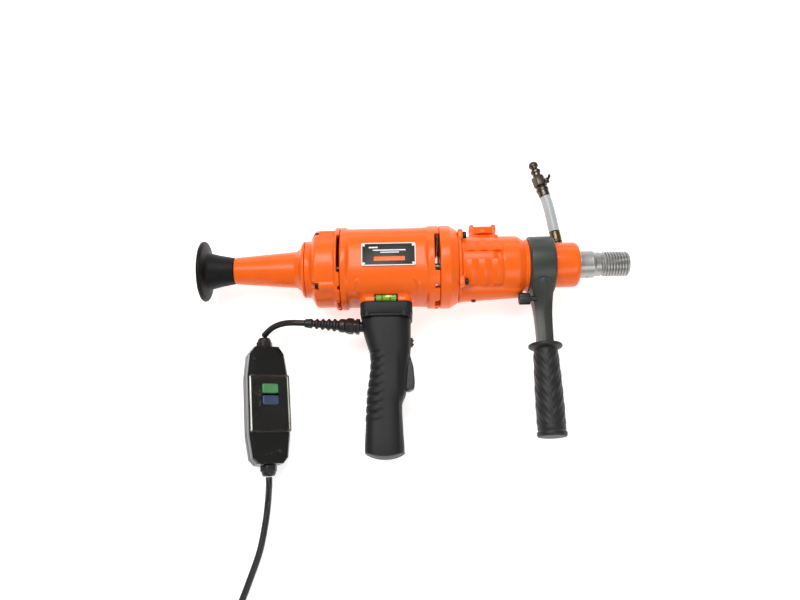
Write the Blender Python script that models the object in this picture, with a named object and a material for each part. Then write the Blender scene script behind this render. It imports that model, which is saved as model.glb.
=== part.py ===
"""Hand-held wet core drill with pistol grip, swivelling side handle and in-line residual current device.

Tool frame, in millimetres: X runs along the spindle towards the thread, -Y towards both handles,
+Z up from the floor, with the origin on the spindle axis. Meshes are stored in metres.
"""
import math

import bmesh
import bpy
from mathutils import Matrix, Vector

MM = 0.001

# Where the tool frame's origin stands in the row frame.
TOOL_X = -20.0
TOOL_Y = 46.96
AXIS_HEIGHT = 50.0

# Housings along the axis.
BARREL_R = 47.8
BARREL_BORE_R = 43.6
SQUARENESS = 2.7
# Vent slots on the upper side: angle towards -Y from the top, and half the slot's length.
VENTS = ((-4.5, 25.0), (47.0, 3.0), (80.0, 6.5))
BELLY_Y = -24.0
SELECTOR_X = 108.0
REST_DROP = 50.0
GEARBOX_R = 38.4
NECK_R = 32.0
COLLAR_R = 28.7
SPINDLE_R = 15.0
THREAD_R = 15.875
THREAD_ROOT_R = 14.1
THREAD_PITCH = 3.6286
THREAD_END_X = 292.0
SPINDLE_BORE_R = 9.0

# Two-stage reverted gear train.
MODULE = 1.1
CENTRE_DISTANCE = 22.0
MOTOR_PINION_TEETH = 9
COUNTER_GEAR_TEETH = 31
COUNTER_PINION_TEETH = 13
OUTPUT_GEAR_TEETH = 27

# Screws that hold the housings together.
SCREW_PITCH_REAR = 32.6
SCREW_PITCH_FRONT = 31.0
SHANK_R = 2.2
SHANK_HOLE_R = 2.9
SOCKET_R = 1.9

# Handles.
HANDLE_X = 178.5
GLAND_AT = (-49.8, -77.4, 0.0)
GLAND_TILT = 5.2
TRIGGER_PIVOT = (2.0, -109.0, 0.0)

# In-line residual current device, lying on its chamfered back.
PRCD_AT = (-170.5, -168.6)
PRCD_TILT = 4.0
PRCD_ROLL = 28.0
PRCD_LENGTH = 146.0
PRCD_HALF_W = 26.0
PRCD_HALF_T = 19.0
PRCD_SPLIT = 3.0
GREEN_BUTTON_Y = 18.0
BLUE_BUTTON_Y = 3.4

# Water inlet.
NIPPLE_AT = (205.0, 24.0, 0.0)
NIPPLE_TILT = 8.2
VALVE_AT = (193.6, 96.0, 0.0)
VALVE_TILT = 15.0
HOSE_R = 7.0
HOSE_BORE_R = 4.2

# Supply cord.
CORD_R = 4.0
TOOL_LEAD_BEND = ((-133.4, -69.7, -1.8), (-145.5, -68.9, -6.4), (-156.3, -69.6, -13.1), (-166.2, -72.5, -20.9))
COIL_MEAN_R = 48.0
COIL_HALF_W = 12.2
COIL_HEIGHT = 32.2
COIL_AT = (-144.0, -476.0)
PLUG_AT = (-58.0, -434.0)
PLUG_R = 18.5

MATERIALS = {
    "orange_paint": ((1.0, 0.16, 0.02), 0.42, 0.0),
    "black_plastic": ((0.03, 0.03, 0.032), 0.55, 0.0),
    "dark_rubber": ((0.045, 0.048, 0.044), 0.8, 0.0),
    "steel": ((0.55, 0.54, 0.52), 0.3, 1.0),
    "black_steel": ((0.04, 0.04, 0.042), 0.4, 0.8),
    "iron_core": ((0.3, 0.3, 0.31), 0.45, 1.0),
    "copper": ((0.75, 0.4, 0.22), 0.35, 1.0),
    "brass": ((0.6, 0.48, 0.22), 0.35, 1.0),
    "nickel": ((0.5, 0.45, 0.38), 0.3, 1.0),
    "clear_plastic": ((0.75, 0.8, 0.84), 0.15, 0.0),
    "smoked_plastic": ((0.2, 0.21, 0.2), 0.15, 0.0),
    "green_plastic": ((0.12, 0.48, 0.15), 0.4, 0.0),
    "blue_plastic": ((0.07, 0.11, 0.33), 0.4, 0.0),
    "vial_liquid": ((0.45, 0.7, 0.1), 0.15, 0.0),
}


def clear_scene():
    for obj in list(bpy.data.objects):
        bpy.data.objects.remove(obj, do_unlink=True)


def build_materials():
    made = {}
    for name, (colour, roughness, metallic) in MATERIALS.items():
        material = bpy.data.materials.new(name)
        material.use_nodes = True
        shader = material.node_tree.nodes["Principled BSDF"]
        shader.inputs["Base Color"].default_value = (*colour, 1.0)
        shader.inputs["Roughness"].default_value = roughness
        shader.inputs["Metallic"].default_value = metallic
        made[name] = material
    return made


# ---- solids, all given in tool-frame millimetres ----

def new_object(bm):
    bmesh.ops.recalc_face_normals(bm, faces=bm.faces)
    bmesh.ops.scale(bm, vec=(MM, MM, MM), verts=bm.verts)
    mesh = bpy.data.meshes.new("solid")
    bm.to_mesh(mesh)
    bm.free()
    obj = bpy.data.objects.new("solid", mesh)
    bpy.context.scene.collection.objects.link(obj)
    return obj


def along_axis(axis, along, side, up):
    if axis == "X":
        return Vector((along, side, up))
    if axis == "Y":
        return Vector((up, along, side))
    return Vector((side, up, along))


def lathe(profile, axis="X", segments=26, centre=(0, 0, 0)):
    """Turn a closed profile of (distance along, radius) points about an axis through centre."""
    bm = bmesh.new()
    offset = Vector(centre)
    rings = []
    for along, radius in profile:
        if radius <= 0:
            rings.append([bm.verts.new(along_axis(axis, along, 0, 0) + offset)])
            continue
        ring = []
        for step in range(segments):
            angle = 2 * math.pi * (step + 0.5) / segments
            point = along_axis(axis, along, radius * math.cos(angle), radius * math.sin(angle))
            ring.append(bm.verts.new(point + offset))
        rings.append(ring)
    for first, second in zip(rings, rings[1:] + rings[:1]):
        bridge(bm, first, second)
    return new_object(bm)


def bridge(bm, first, second):
    if len(first) == 1 and len(second) == 1:
        return
    count = max(len(first), len(second))
    for step in range(count):
        nxt = (step + 1) % count
        corners = []
        for vert in (first[step % len(first)], first[nxt % len(first)],
                     second[nxt % len(second)], second[step % len(second)]):
            if vert not in corners:
                corners.append(vert)
        bm.faces.new(corners)


def loft(sections):
    """Skin a list of equal-length point loops and cap both ends."""
    bm = bmesh.new()
    rings = [[bm.verts.new(Vector(point)) for point in section] for section in sections]
    for first, second in zip(rings, rings[1:]):
        bridge(bm, first, second)
    bm.faces.new(rings[0])
    bm.faces.new(rings[-1])
    return new_object(bm)


def prism(outline, start, end, axis="Z"):
    """Extrude an outline, given in the plane across the axis, from start to end."""
    sections = []
    for along in (start, end):
        sections.append([along_axis(axis, along, side, up) for side, up in outline])
    return loft(sections)


def rounded_rectangle(half_w, half_h, radius, steps=3, centre=(0, 0)):
    points = []
    for corner, (sx, sy) in enumerate(((1, 1), (-1, 1), (-1, -1), (1, -1))):
        for step in range(steps + 1):
            angle = math.pi / 2 * (corner + step / steps)
            points.append((centre[0] + sx * (half_w - radius) + radius * math.cos(angle),
                           centre[1] + sy * (half_h - radius) + radius * math.sin(angle)))
    return points


def box(low, high, chamfer=0.0):
    bm = bmesh.new()
    bmesh.ops.create_cube(bm, size=1.0)
    size = [high[i] - low[i] for i in range(3)]
    middle = [(high[i] + low[i]) / 2 for i in range(3)]
    bmesh.ops.scale(bm, vec=size, verts=bm.verts)
    bmesh.ops.translate(bm, vec=middle, verts=bm.verts)
    if chamfer:
        bmesh.ops.bevel(bm, geom=list(bm.edges), offset=chamfer, segments=1, affect="EDGES")
    return new_object(bm)


def cylinder(radius, start, end, axis="X", segments=16, centre=(0, 0, 0)):
    return lathe([(start, 0), (start, radius), (end, radius), (end, 0)], axis, segments, centre)


def gear_outline(teeth):
    pitch_r = teeth * MODULE / 2
    tip = pitch_r + 0.75 * MODULE
    root = pitch_r - 1.1 * MODULE
    pitch = 2 * math.pi / teeth
    outline = []
    for tooth in range(teeth):
        middle = tooth * pitch
        for radius, side in ((root, -1), (tip, -1), (tip, 1), (root, 1)):
            half = (0.18 * pitch * pitch_r + (pitch_r - radius) * 0.36) / radius
            angle = middle + side * half
            outline.append((radius * math.cos(angle), radius * math.sin(angle)))
    return outline


def combine(obj, other, operation):
    modifier = obj.modifiers.new("combine", "BOOLEAN")
    modifier.operation = operation
    modifier.solver = "EXACT"
    modifier.object = other
    bpy.context.view_layer.update()
    graph = bpy.context.evaluated_depsgraph_get()
    result = bpy.data.meshes.new_from_object(obj.evaluated_get(graph))
    obj.modifiers.remove(modifier)
    obj.data = result
    bpy.data.objects.remove(other, do_unlink=True)


def add(obj, *others):
    for other in others:
        combine(obj, other, "UNION")
    return obj


def cut(obj, *others):
    for other in others:
        combine(obj, other, "DIFFERENCE")
    return obj


def turn(obj, matrix):
    """Carry a solid by a tool-frame matrix in millimetres."""
    scaled = matrix.copy()
    scaled.translation = matrix.translation * MM
    obj.data.transform(scaled)
    return obj


def finish(obj, name, material, pivot=(0, 0, 0), sharp=32):
    """Name, colour and shade a solid and put its origin on the pivot, in the row frame."""
    obj.name = name
    obj.data.name = name
    bm = bmesh.new()
    bm.from_mesh(obj.data)
    bmesh.ops.remove_doubles(bm, verts=bm.verts, dist=0.00001)
    bmesh.ops.dissolve_degenerate(bm, edges=bm.edges, dist=0.00001)
    bmesh.ops.recalc_face_normals(bm, faces=bm.faces)
    bm.to_mesh(obj.data)
    bm.free()
    origin = Vector(pivot) * MM
    obj.data.transform(Matrix.Translation(-origin))
    obj.location = origin + Vector((TOOL_X, TOOL_Y, AXIS_HEIGHT)) * MM
    obj.data.materials.clear()
    obj.data.materials.append(PAINTS[material])
    obj.data.shade_smooth()
    obj.data.set_sharp_from_angle(angle=math.radians(sharp))
    return obj


# ---- motor end ----

def four_corners(pitch):
    return [(pitch, pitch), (-pitch, pitch), (-pitch, -pitch), (pitch, -pitch)]


def shank_holes(obj, pitch, start, end):
    for side, up in four_corners(pitch):
        cut(obj, cylinder(SHANK_HOLE_R, start, end, "X", 6, (0, side, up)))
    return obj


def rest_flat(obj):
    return cut(obj, box((-140, -60, -70), (140, 60, -REST_DROP)))


def vent_slots(obj, start, end, bottom):
    """A long and two short slots, alike on the upper and lower side, between start and end along the axis."""
    for angle, half in VENTS:
        for turned in (angle, 180 - angle):
            slot = box((start, -half, bottom), (end, half, 60))
            cut(obj, turn(slot, Matrix.Rotation(math.radians(turned), 4, "X")))
    return obj


def build_breast_pad():
    pad = lathe([(-252, 0), (-252, 33), (-251, 37.2), (-249.4, 38.5), (-246.8, 38.5), (-245, 36.5),
                 (-243, 25), (-240, 23.3), (-209.3, 16.8), (-209.3, 9), (-192, 9), (-192, 0)], segments=24)
    finish(pad, "breast_pad", "black_plastic")


def build_rear_cone():
    cone = lathe([(-209, 9.4), (-209, 16.8), (-131, 23.3), (-125, 27.5), (-122.2, 34.5), (-120.8, 36.2),
                  (-118.3, 36.2), (-118.3, 27), (-133, 18.5), (-180, 14), (-184, 9.4)], segments=24)
    finish(cone, "rear_cone", "orange_paint")


def build_rear_housing():
    housing = lathe([(-118, 0), (-118, 36.2), (-111.5, 36.2), (-105.5, 48), (-103.5, 49.3), (-79.5, 49.3),
                     (-79.5, 53), (-74.6, 53), (-73.6, 52), (-73.6, 44), (-103, 44), (-108.5, 32),
                     (-108.5, 18), (-92, 18), (-92, 13.4), (-106, 13.4), (-106, 0)])
    for side, up in four_corners(SCREW_PITCH_REAR):
        add(housing, cylinder(6.2, -105, -76, "X", 8, (0, side, up)))
        cut(housing, cylinder(4.8, -112, -105.1, "X", 8, (0, side, up)))
    cut(housing, lathe([(-102.8, 30), (-102.8, 43.8), (-72, 43.8), (-72, 30)]))
    shank_holes(housing, SCREW_PITCH_REAR, -110, -70)
    vent_slots(housing, -77, -73, 41)
    rest_flat(housing)
    finish(housing, "rear_housing", "orange_paint")


def build_motor_housing():
    housing = lathe([(-73.2, 0), (-73.2, 52), (-72.2, 53), (-66, 53), (-64.4, 51.6), (-64.4, 0)], segments=32)
    barrel = [squarish(x, radius) for x, radius in ((-66, BARREL_R), (20, BARREL_R), (36, 48.6))]
    add(housing, loft(barrel), lathe([(34, 0), (34, 51.6), (35.4, 53), (48.6, 53), (50, 51.8), (50, 0)], segments=32))
    neck = rounded_rectangle(32, 26, 9, 3, (-17, 0))
    add(housing, loft([[(x, y, z) for x, z in neck] for y in (-36, -52.3)]))
    add(housing, box((-69, 44, -9), (38, 51.6, 9), 1.5))
    for x in (-53, 18):
        add(housing, box((x - 2, -42, -30), (x + 2, -28, 30)))
    cut(housing, cylinder(BARREL_BORE_R, -80, 60, "X", 32))
    cut(housing, box((-34, -60, -14), (2, -38, 14)))
    cut(housing, box((-31.5, -53.5, 22), (-2.5, -43.5, 30)))
    shank_holes(housing, SCREW_PITCH_REAR, -76, -65.5)
    vent_slots(housing, 43.6, 51, 41)
    rest_flat(housing)
    finish(housing, "motor_housing", "orange_paint")


def squarish(x, radius):
    """Barrel cross-section: a circle squared off so that its sides are nearly flat."""
    loop = []
    for step in range(32):
        angle = 2 * math.pi * (step + 0.5) / 32
        c, s = math.cos(angle), math.sin(angle)
        reach = radius / (abs(c) ** SQUARENESS + abs(s) ** SQUARENESS) ** (1 / SQUARENESS)
        loop.append((x, reach * c, reach * s))
    return loop


def build_nameplate():
    plate = box((-46, -16, BARREL_R + 0.3), (20, 16, BARREL_R + 1.5), 0.4)
    finish(plate, "nameplate", "black_plastic")


def build_level_vial():
    vial = cylinder(3.6, -30.7, -3.3, "X", 16, (0, -48.5, 26.2))
    finish(vial, "level_vial", "vial_liquid")


def build_motor():
    stator = lathe([(-45, 25), (-45, 43.2), (15, 43.2), (15, 25)], segments=32)
    for angle in (0, 180):
        pole = box((-40, -12, 20), (10, 12, 25.6))
        cut(stator, turn(pole, Matrix.Rotation(math.radians(angle), 4, "X")))
    finish(stator, "stator_core", "iron_core")
    for index, sign in enumerate((1, -1)):
        brush = box((-64, -6, 14.6), (-54, 6, 40), 0.8)
        turn(brush, Matrix.Rotation(math.radians(0 if sign > 0 else 180), 4, "X"))
        finish(brush, f"brush_holder_{index + 1}", "brass")
    shaft = lathe([(-105, 0), (-105, 5), (66, 5), (66, 3.5), (84, 3.5), (84, 0)], segments=20)
    add(shaft, prism(gear_outline(MOTOR_PINION_TEETH), 69, 83, "X"))
    finish(shaft, "armature_shaft", "steel", (0, 0, 0))
    core = prism(rotor_outline(), -45, 15, "X")
    cut(core, cylinder(5.3, -50, 20, "X", 20))
    finish(core, "rotor_core", "iron_core")
    ring = lathe([(-65, 5.3), (-65, 14), (-53, 14), (-53, 5.3)], segments=24)
    finish(ring, "commutator", "copper")
    fan = prism(fan_outline(), 24, 36, "X")
    cut(fan, cylinder(5.3, 20, 40, "X", 20))
    finish(fan, "cooling_fan", "black_plastic")


def rotor_outline():
    slots = 12
    outline = []
    for slot in range(slots):
        for radius, share in ((24, 0.08), (24, 0.5), (24, 0.92), (19, 0.94), (19, 1.06)):
            angle = 2 * math.pi * (slot + share) / slots
            outline.append((radius * math.cos(angle), radius * math.sin(angle)))
    return outline


def fan_outline():
    blades = 9
    outline = []
    for blade in range(blades):
        for radius, share in ((15, 0.3), (39.5, 0.62), (39.5, 0.74), (15, 0.5)):
            angle = 2 * math.pi * (blade + share) / blades
            outline.append((radius * math.cos(angle), radius * math.sin(angle)))
    return outline


def build_bearing(name, start, end, inner, outer):
    middle = (inner + outer) / 2
    ring = lathe([(start, inner), (start, middle - 2), (start + 1, middle), (start, middle + 2), (start, outer),
                  (end, outer), (end, inner)], segments=16)
    finish(ring, name, "steel")


def socket_outline():
    angles = [math.radians(60 * corner) for corner in range(6)]
    return [(SOCKET_R * math.cos(angle), SOCKET_R * math.sin(angle)) for angle in angles]


def build_screw(name, side, up, head, head_r, shank, socket):
    """Socket screw along X: head, shank and socket are each given as a (start, end) pair."""
    screw = cylinder(head_r, *head, "X", 10, (0, side, up))
    add(screw, cylinder(SHANK_R, *shank, "X", 6, (0, side, up)))
    cut(screw, turn(prism(socket_outline(), *socket, "X"), Matrix.Translation((0, side, up))))
    finish(screw, name, "black_steel")


def build_screws():
    for index, (side, up) in enumerate(four_corners(SCREW_PITCH_REAR)):
        build_screw(f"rear_screw_{index + 1}", side, up, (-109.4, -105.4), 4.0, (-106, -66.5), (-110.4, -107.2))
    for index, (side, up) in enumerate(four_corners(SCREW_PITCH_FRONT)):
        build_screw(f"front_bolt_{index + 1}", side, up, (80.4, 84.2), 4.2, (58, 81), (82, 85))


# ---- gearbox ----

def build_gearbox_cover():
    cover = lathe([(50.3, 13.4), (50.3, 51.8), (51.6, 53), (62.8, 53), (64.3, 52), (66, 50.8), (73, 47),
                   (73, 41), (66, 41), (66, 13.4)])
    cut(cover, cylinder(5.4, 59, 70, "X", 12, (0, -CENTRE_DISTANCE, 0)))
    shank_holes(cover, SCREW_PITCH_FRONT, 57, 75)
    rest_flat(cover)
    finish(cover, "gearbox_cover", "orange_paint")


def build_gearbox_housing():
    housing = lathe([(73.3, 0), (73.3, 44), (77, 44), (78.5, GEARBOX_R), (94, GEARBOX_R), (95.5, GEARBOX_R - 1),
                     (97, GEARBOX_R), (117, GEARBOX_R), (122, 36), (126, 36), (130, 38), (149, 38),
                     (158.4, NECK_R), (196, NECK_R), (196, 0)], segments=30)
    add(housing, lathe([(74, 0), (74, 22.8), (150, 18.4), (155, 14), (157, 0)], "X", 22, (0, BELLY_Y, 0)))
    for side, up in four_corners(SCREW_PITCH_FRONT):
        tab = box((73.3, side - 6, up - 6), (80, side + 6, up + 6), 1.2)
        add(housing, tab)
    add(housing, box((90, 30, -13), (126, 38.9, 13), 1.0))
    cavity = lathe([(70, 0), (70, 34), (103, 34), (103, 15.8), (108.7, 15.8), (108.7, 24.3), (175, 24.3),
                    (175, 26.4), (198, 26.4), (198, 0)], segments=22)
    cut(housing, cavity)
    cut(housing, cylinder(20, 70, 84, "X", 18, (0, -CENTRE_DISTANCE, 0)))
    cut(housing, cylinder(5, 102, 109.5, "X", 12, (0, -CENTRE_DISTANCE, 0)))
    cut(housing, cylinder(5.3, 30, 42, "Y", 12, (SELECTOR_X, 0, 0)))
    shank_holes(housing, SCREW_PITCH_FRONT, 70, 84)
    finish(housing, "gearbox_housing", "orange_paint")


def build_water_collar():
    collar = lathe([(196.3, 15.6), (196.3, COLLAR_R - 0.8), (197.1, COLLAR_R), (222.5, COLLAR_R), (226, 27.2),
                    (227.5, 24), (227.5, 15.6), (219, 15.6), (219, 20), (203, 20), (203, 15.6)])
    cut(collar, tilted(cylinder(5.3, -6, 8, "Y", 16), NIPPLE_AT, NIPPLE_TILT))
    finish(collar, "water_collar", "orange_paint")


def tilted(obj, point, angle):
    """Move a solid built about the origin along Y to a point, leaning towards -X."""
    return turn(obj, Matrix.Translation(Vector(point)) @ Matrix.Rotation(math.radians(angle), 4, "Z"))


def build_spindle():
    profile = [(87, 0), (87, 10), (107, 10), (107, SPINDLE_R), (228, SPINDLE_R), (228, 17.3), (248, 17.3),
               (248.6, 15.4), (257, 15.4)]
    crests = int((THREAD_END_X - 259) / THREAD_PITCH)
    for crest in range(crests):
        x = 257.6 + crest * THREAD_PITCH
        profile += [(x, THREAD_ROOT_R), (x + THREAD_PITCH / 2, THREAD_R)]
    profile += [(THREAD_END_X - 1, THREAD_ROOT_R), (THREAD_END_X, THREAD_ROOT_R - 0.6),
                (THREAD_END_X, SPINDLE_BORE_R), (203, SPINDLE_BORE_R), (200, 0)]
    spindle = lathe(profile, segments=24)
    for sign in (1, -1):
        flat = box((230.5, -20, 15.6), (246, 20, 20))
        cut(spindle, turn(flat, Matrix.Rotation(math.radians(90 - 90 * sign), 4, "X")))
    cut(spindle, cylinder(2.8, -22, 22, "Y", 12, (211, 0, 0)))
    finish(spindle, "spindle", "steel", (0, 0, 0))


def build_gears():
    output = prism(gear_outline(OUTPUT_GEAR_TEETH), 89, 101, "X")
    cut(output, cylinder(10.3, 85, 105, "X", 28))
    finish(output, "output_gear", "steel", (0, 0, 0))
    shaft = lathe([(60.5, 0), (60.5, 5), (86, 5), (86, 4.6), (108.3, 4.6), (108.3, 0)], segments=12)
    wheel = prism(gear_outline(COUNTER_GEAR_TEETH), 71, 80, "X")
    pinion = prism(gear_outline(COUNTER_PINION_TEETH), 87, 102.5, "X")
    turn(wheel, Matrix.Rotation(math.radians(counter_phase(COUNTER_GEAR_TEETH, MOTOR_PINION_TEETH)), 4, "X"))
    turn(pinion, Matrix.Rotation(math.radians(counter_phase(COUNTER_PINION_TEETH, OUTPUT_GEAR_TEETH)), 4, "X"))
    add(shaft, wheel, pinion)
    turn(shaft, Matrix.Translation((0, -CENTRE_DISTANCE, 0)))
    finish(shaft, "countershaft", "steel", (0, -CENTRE_DISTANCE, 0))


def counter_phase(own, mate):
    """Turn that puts a gap of the countershaft's gear opposite the mate's tooth on the line of centres."""
    mate_pitch = 360 / mate
    mate_offset = 180 - round(180 / mate_pitch) * mate_pitch
    return 180 / own - mate_offset * mate / own


# ---- gear selector, side handle, water valve ----

def build_selector():
    knob = lathe([(32, 0), (32, 5), (39.3, 5), (39.3, 17.3), (47.8, 16.8), (48.8, 15.6), (48.8, 0)], "Y", 28)
    for sign in (1, -1):
        ear = [(sign * 10.5, 44), (sign * 16.6, 44), (sign * 17.2, 56.2), (sign * 15.5, 57.5), (sign * 12.5, 57.5)]
        add(knob, prism(ear, -5.5, 5.5, "Z"))
    turn(knob, Matrix.Translation((SELECTOR_X, 0, 0)))
    finish(knob, "speed_selector_knob", "orange_paint", (SELECTOR_X, 40, 0))


def build_side_handle():
    ring = lathe([(163, 0), (163, 35.8), (164, 36.7), (194, 36.7), (195, 35.8), (195, 0)])
    gusset = loft([[(x, y, z) for x, z in rounded_rectangle(hw, hz, 4, 1, (HANDLE_X, 0))]
                   for y, hw, hz in ((-30, 13.5, 19), (-44, 12.6, 17), (-58, 11, 11), (-72, 10.4, 9.6),
                                     (-104, 10, 9.4))])
    add(ring, gusset, cylinder(8.8, -212, -103, "Y", 14, (HANDLE_X, 0, 0)))
    cut(ring, cylinder(3.8, 160, 175, "X", 12, (0, -48, 11)), cylinder(32.4, 150, 210, "X", 26))
    finish(ring, "handle_clamp", "dark_rubber", (HANDLE_X, 0, 0))
    grip = lathe([(-104.4, 9.2), (-104.4, 20), (-106, 21), (-108.6, 21), (-111.5, 14.4), (-140, 16.6),
                  (-165, 17.4), (-211, 16.8), (-213.4, 18.2), (-216.6, 18.2), (-218.4, 16.5), (-218.4, 0),
                  (-213, 0), (-213, 9.2)], "Y", 22)
    turn(grip, Matrix.Translation((HANDLE_X, 0, 0)))
    finish(grip, "handle_grip", "dark_rubber", (HANDLE_X, 0, 0))
    star = []
    for step in range(24):
        radius = 6.6 if step % 4 < 2 else 5.6
        star.append((radius * math.cos(math.pi * step / 12), radius * math.sin(math.pi * step / 12)))
    knob = prism(star, 148, 159.5, "X")
    add(knob, cylinder(3.4, 158, 174, "X", 12))
    turn(knob, Matrix.Translation((0, -48, 11)))
    finish(knob, "clamp_knob", "black_plastic", (150, -48, 11))


def build_water_line():
    nipple = lathe([(-2.5, 3), (-2.5, 5), (6.4, 5), (6.4, 7), (20, 7), (21.4, 6.3), (21.6, 3.5), (31, 3.5),
                    (31, 2.4), (-2.5, 2.4)], "Y", 14)
    finish(tilted(nipple, NIPPLE_AT, NIPPLE_TILT), "water_nipple", "brass")
    start = leaning_point(NIPPLE_AT, NIPPLE_TILT, 22)
    end = leaning_point(VALVE_AT, VALVE_TILT, -0.4)
    hose_bend(start, end)
    body = lathe([(0, 3.2), (0, 7.4), (6, 7.4), (6, 6.2), (8, 6.2), (8, 7.8), (11.5, 7.8), (11.5, 6.4),
                  (16, 6.4), (16, 8.6), (29, 8.6), (29, 6), (31, 6), (31, 3.2)], "Y", 16)
    cut(body, cylinder(3.3, 6, 12, "X", 12, (0, 22, 0)))
    finish(tilted(body, VALVE_AT, VALVE_TILT), "valve_body", "nickel")
    coupler = lathe([(31.4, 3), (31.4, 5.4), (36, 5.4), (37, 6.8), (40, 6.8), (41, 5), (43, 5), (44.5, 6.2),
                     (48, 6.4), (51, 5.4), (52.4, 3)], "Y", 14)
    finish(tilted(coupler, VALVE_AT, VALVE_TILT), "inlet_coupler", "nickel")
    lever = lathe([(6.6, 0), (6.6, 3), (10, 3), (10, 4), (12.6, 4), (12.6, 0)], "X", 16, (0, 22, 0))
    add(lever, box((10.2, 19.8, -2.5), (12.4, 24.2, 16), 0.8))
    finish(tilted(lever, VALVE_AT, VALVE_TILT), "valve_lever", "nickel", leaning_point(VALVE_AT, VALVE_TILT, 22))


def leaning_point(point, angle, distance):
    lean = math.radians(angle)
    return Vector(point) + Vector((-math.sin(lean), math.cos(lean), 0)) * distance


def hose_bend(start, end):
    steps = 6
    first = Vector((-math.sin(math.radians(NIPPLE_TILT)), math.cos(math.radians(NIPPLE_TILT)), 0))
    last = Vector((-math.sin(math.radians(VALVE_TILT)), math.cos(math.radians(VALVE_TILT)), 0))
    reach = (end - start).length
    bm = bmesh.new()
    outer, inner = [], []
    for step in range(steps + 1):
        t = step / steps
        point = (start * (2 * t ** 3 - 3 * t ** 2 + 1) + first * reach * (t ** 3 - 2 * t ** 2 + t)
                 + end * (3 * t ** 2 - 2 * t ** 3) + last * reach * (t ** 3 - t ** 2))
        along = first.lerp(last, t).normalized()
        side = along.cross(Vector((0, 0, 1)))
        for rings, radius in ((outer, HOSE_R), (inner, HOSE_BORE_R)):
            ring = []
            for k in range(12):
                angle = 2 * math.pi * k / 12
                offset = side * math.cos(angle) * radius + Vector((0, 0, 1)) * math.sin(angle) * radius
                ring.append(bm.verts.new(point + offset))
            rings.append(ring)
    for rings in (outer, inner):
        for a, b in zip(rings, rings[1:]):
            bridge(bm, a, b)
    bridge(bm, outer[0], inner[0])
    bridge(bm, outer[-1], inner[-1])
    finish(new_object(bm), "water_hose", "clear_plastic")


# ---- pistol grip ----

GRIP_SECTIONS = (
    # y, rear x, front x, half thickness
    (-71.0, -47.8, 13.0, 23.0),
    (-88.0, -45.6, 12.6, 22.5),
    (-104.0, -41.0, 12.6, 21.5),
    (-112.0, -38.4, 12.0, 21.0),
    (-119.0, -37.1, 11.2, 20.5),
    (-132.5, -37.4, 9.4, 20.0),
    (-150.0, -39.6, 7.6, 20.0),
    (-163.0, -41.4, 6.0, 20.0),
    (-176.0, -42.3, 1.4, 20.0),
    (-210.0, -44.2, 2.1, 20.8),
    (-226.0, -45.2, 3.2, 21.3),
    (-236.0, -44.6, 2.6, 20.4),
    (-241.3, -39.0, -3.0, 16.0),
)


def grip_loop(y, rear, front, half, sign, inset, seam):
    steps = 10
    middle = (rear + front) / 2
    reach = (front - rear) / 2 - inset
    depth = half - inset
    loop = []
    for step in range(steps + 1):
        angle = math.pi * step / steps
        c, s = math.cos(angle), math.sin(angle)
        x = middle + reach * math.copysign(abs(c) ** 0.62, c)
        z = seam + (depth - seam) * abs(s) ** 0.62
        loop.append((x, y, sign * z))
    return loop


def build_grip_shell(name, sign):
    shell = loft([grip_loop(*section, sign, 0.0, 0.15) for section in GRIP_SECTIONS])
    hollow = []
    for y, rear, front, half in GRIP_SECTIONS[:-1]:
        hollow.append(grip_loop(min(y + 2.5, -66), rear, front, half, sign, 3.2, 0.0))
    for loop in hollow:
        loop[0] = (loop[0][0], loop[0][1], -sign)
        loop[-1] = (loop[-1][0], loop[-1][1], -sign)
    hollow[0] = [(x, -66, z) for x, _, z in hollow[0]]
    cut(shell, loft(hollow))
    cut(shell, box((-4, -161.5, -8.4), (20, -105.5, 8.4)))
    cut(shell, box((4, -105, -5.6), (20, -92.6, 5.6)))
    cut(shell, about_gland(cylinder(7.0, -10, 12, "X", 16)))
    finish(shell, name, "black_plastic")


def about_gland(obj):
    lean = Matrix.Rotation(math.radians(-GLAND_TILT), 4, "Z")
    return turn(obj, Matrix.Translation(Vector(GLAND_AT)) @ lean)


def build_grip():
    outline = rounded_rectangle(32.2, 28, 10, 4, (-17, 0))
    collar = loft([[(x, y, z) for x, z in outline] for y in (-52.6, -70.6)])
    inner = rounded_rectangle(27, 22, 7, 3, (-17, 0))
    cut(collar, loft([[(x, y, z) for x, z in inner] for y in (-50, -73)]))
    finish(collar, "grip_collar", "black_plastic")
    build_grip_shell("grip_shell_left", 1)
    build_grip_shell("grip_shell_right", -1)
    switch = box((-32, -164, -11), (-11, -112, 11), 1.2)
    finish(switch, "trigger_switch", "black_plastic")
    trigger = prism([(-2.5, -112), (3, -106.6), (9, -109.4), (14.8, -130), (16.3, -150), (15.3, -157.6),
                     (8, -160.2), (5, -159), (3, -150), (-2.5, -140)], -7.6, 7.6, "Z")
    finish(trigger, "trigger", "black_plastic", TRIGGER_PIVOT)
    button = box((6, -104.4, -5), (15.6, -93.2, 5), 1.0)
    finish(button, "lock_button", "black_plastic", (10, -98.8, 0))


def build_gland():
    gland = lathe([(9, 4.6), (9, 6.6), (-0.8, 6.6), (-0.8, 9.8), (-6, 9.8), (-6, 8.2), (-8.6, 8.2),
                   (-8.6, 10), (-17, 10), (-19, 8.6), (-19, 4.6)], "X", 16)
    finish(about_gland(gland), "cable_gland", "black_plastic")
    profile = [(-19.4, 4.4), (-19.4, 8.4), (-26, 8.4)]
    for rib in range(5):
        x = -28 - 7.4 * rib
        radius = 7.9 - 0.45 * rib
        profile += [(x, radius - 1.7), (x - 2.4, radius - 1.7), (x - 3.2, radius)]
    profile += [(-69.8, 5.4), (-69.8, 4.4)]
    finish(about_gland(lathe(profile, "X", 14)), "strain_relief", "black_plastic")


# ---- residual current device ----

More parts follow.
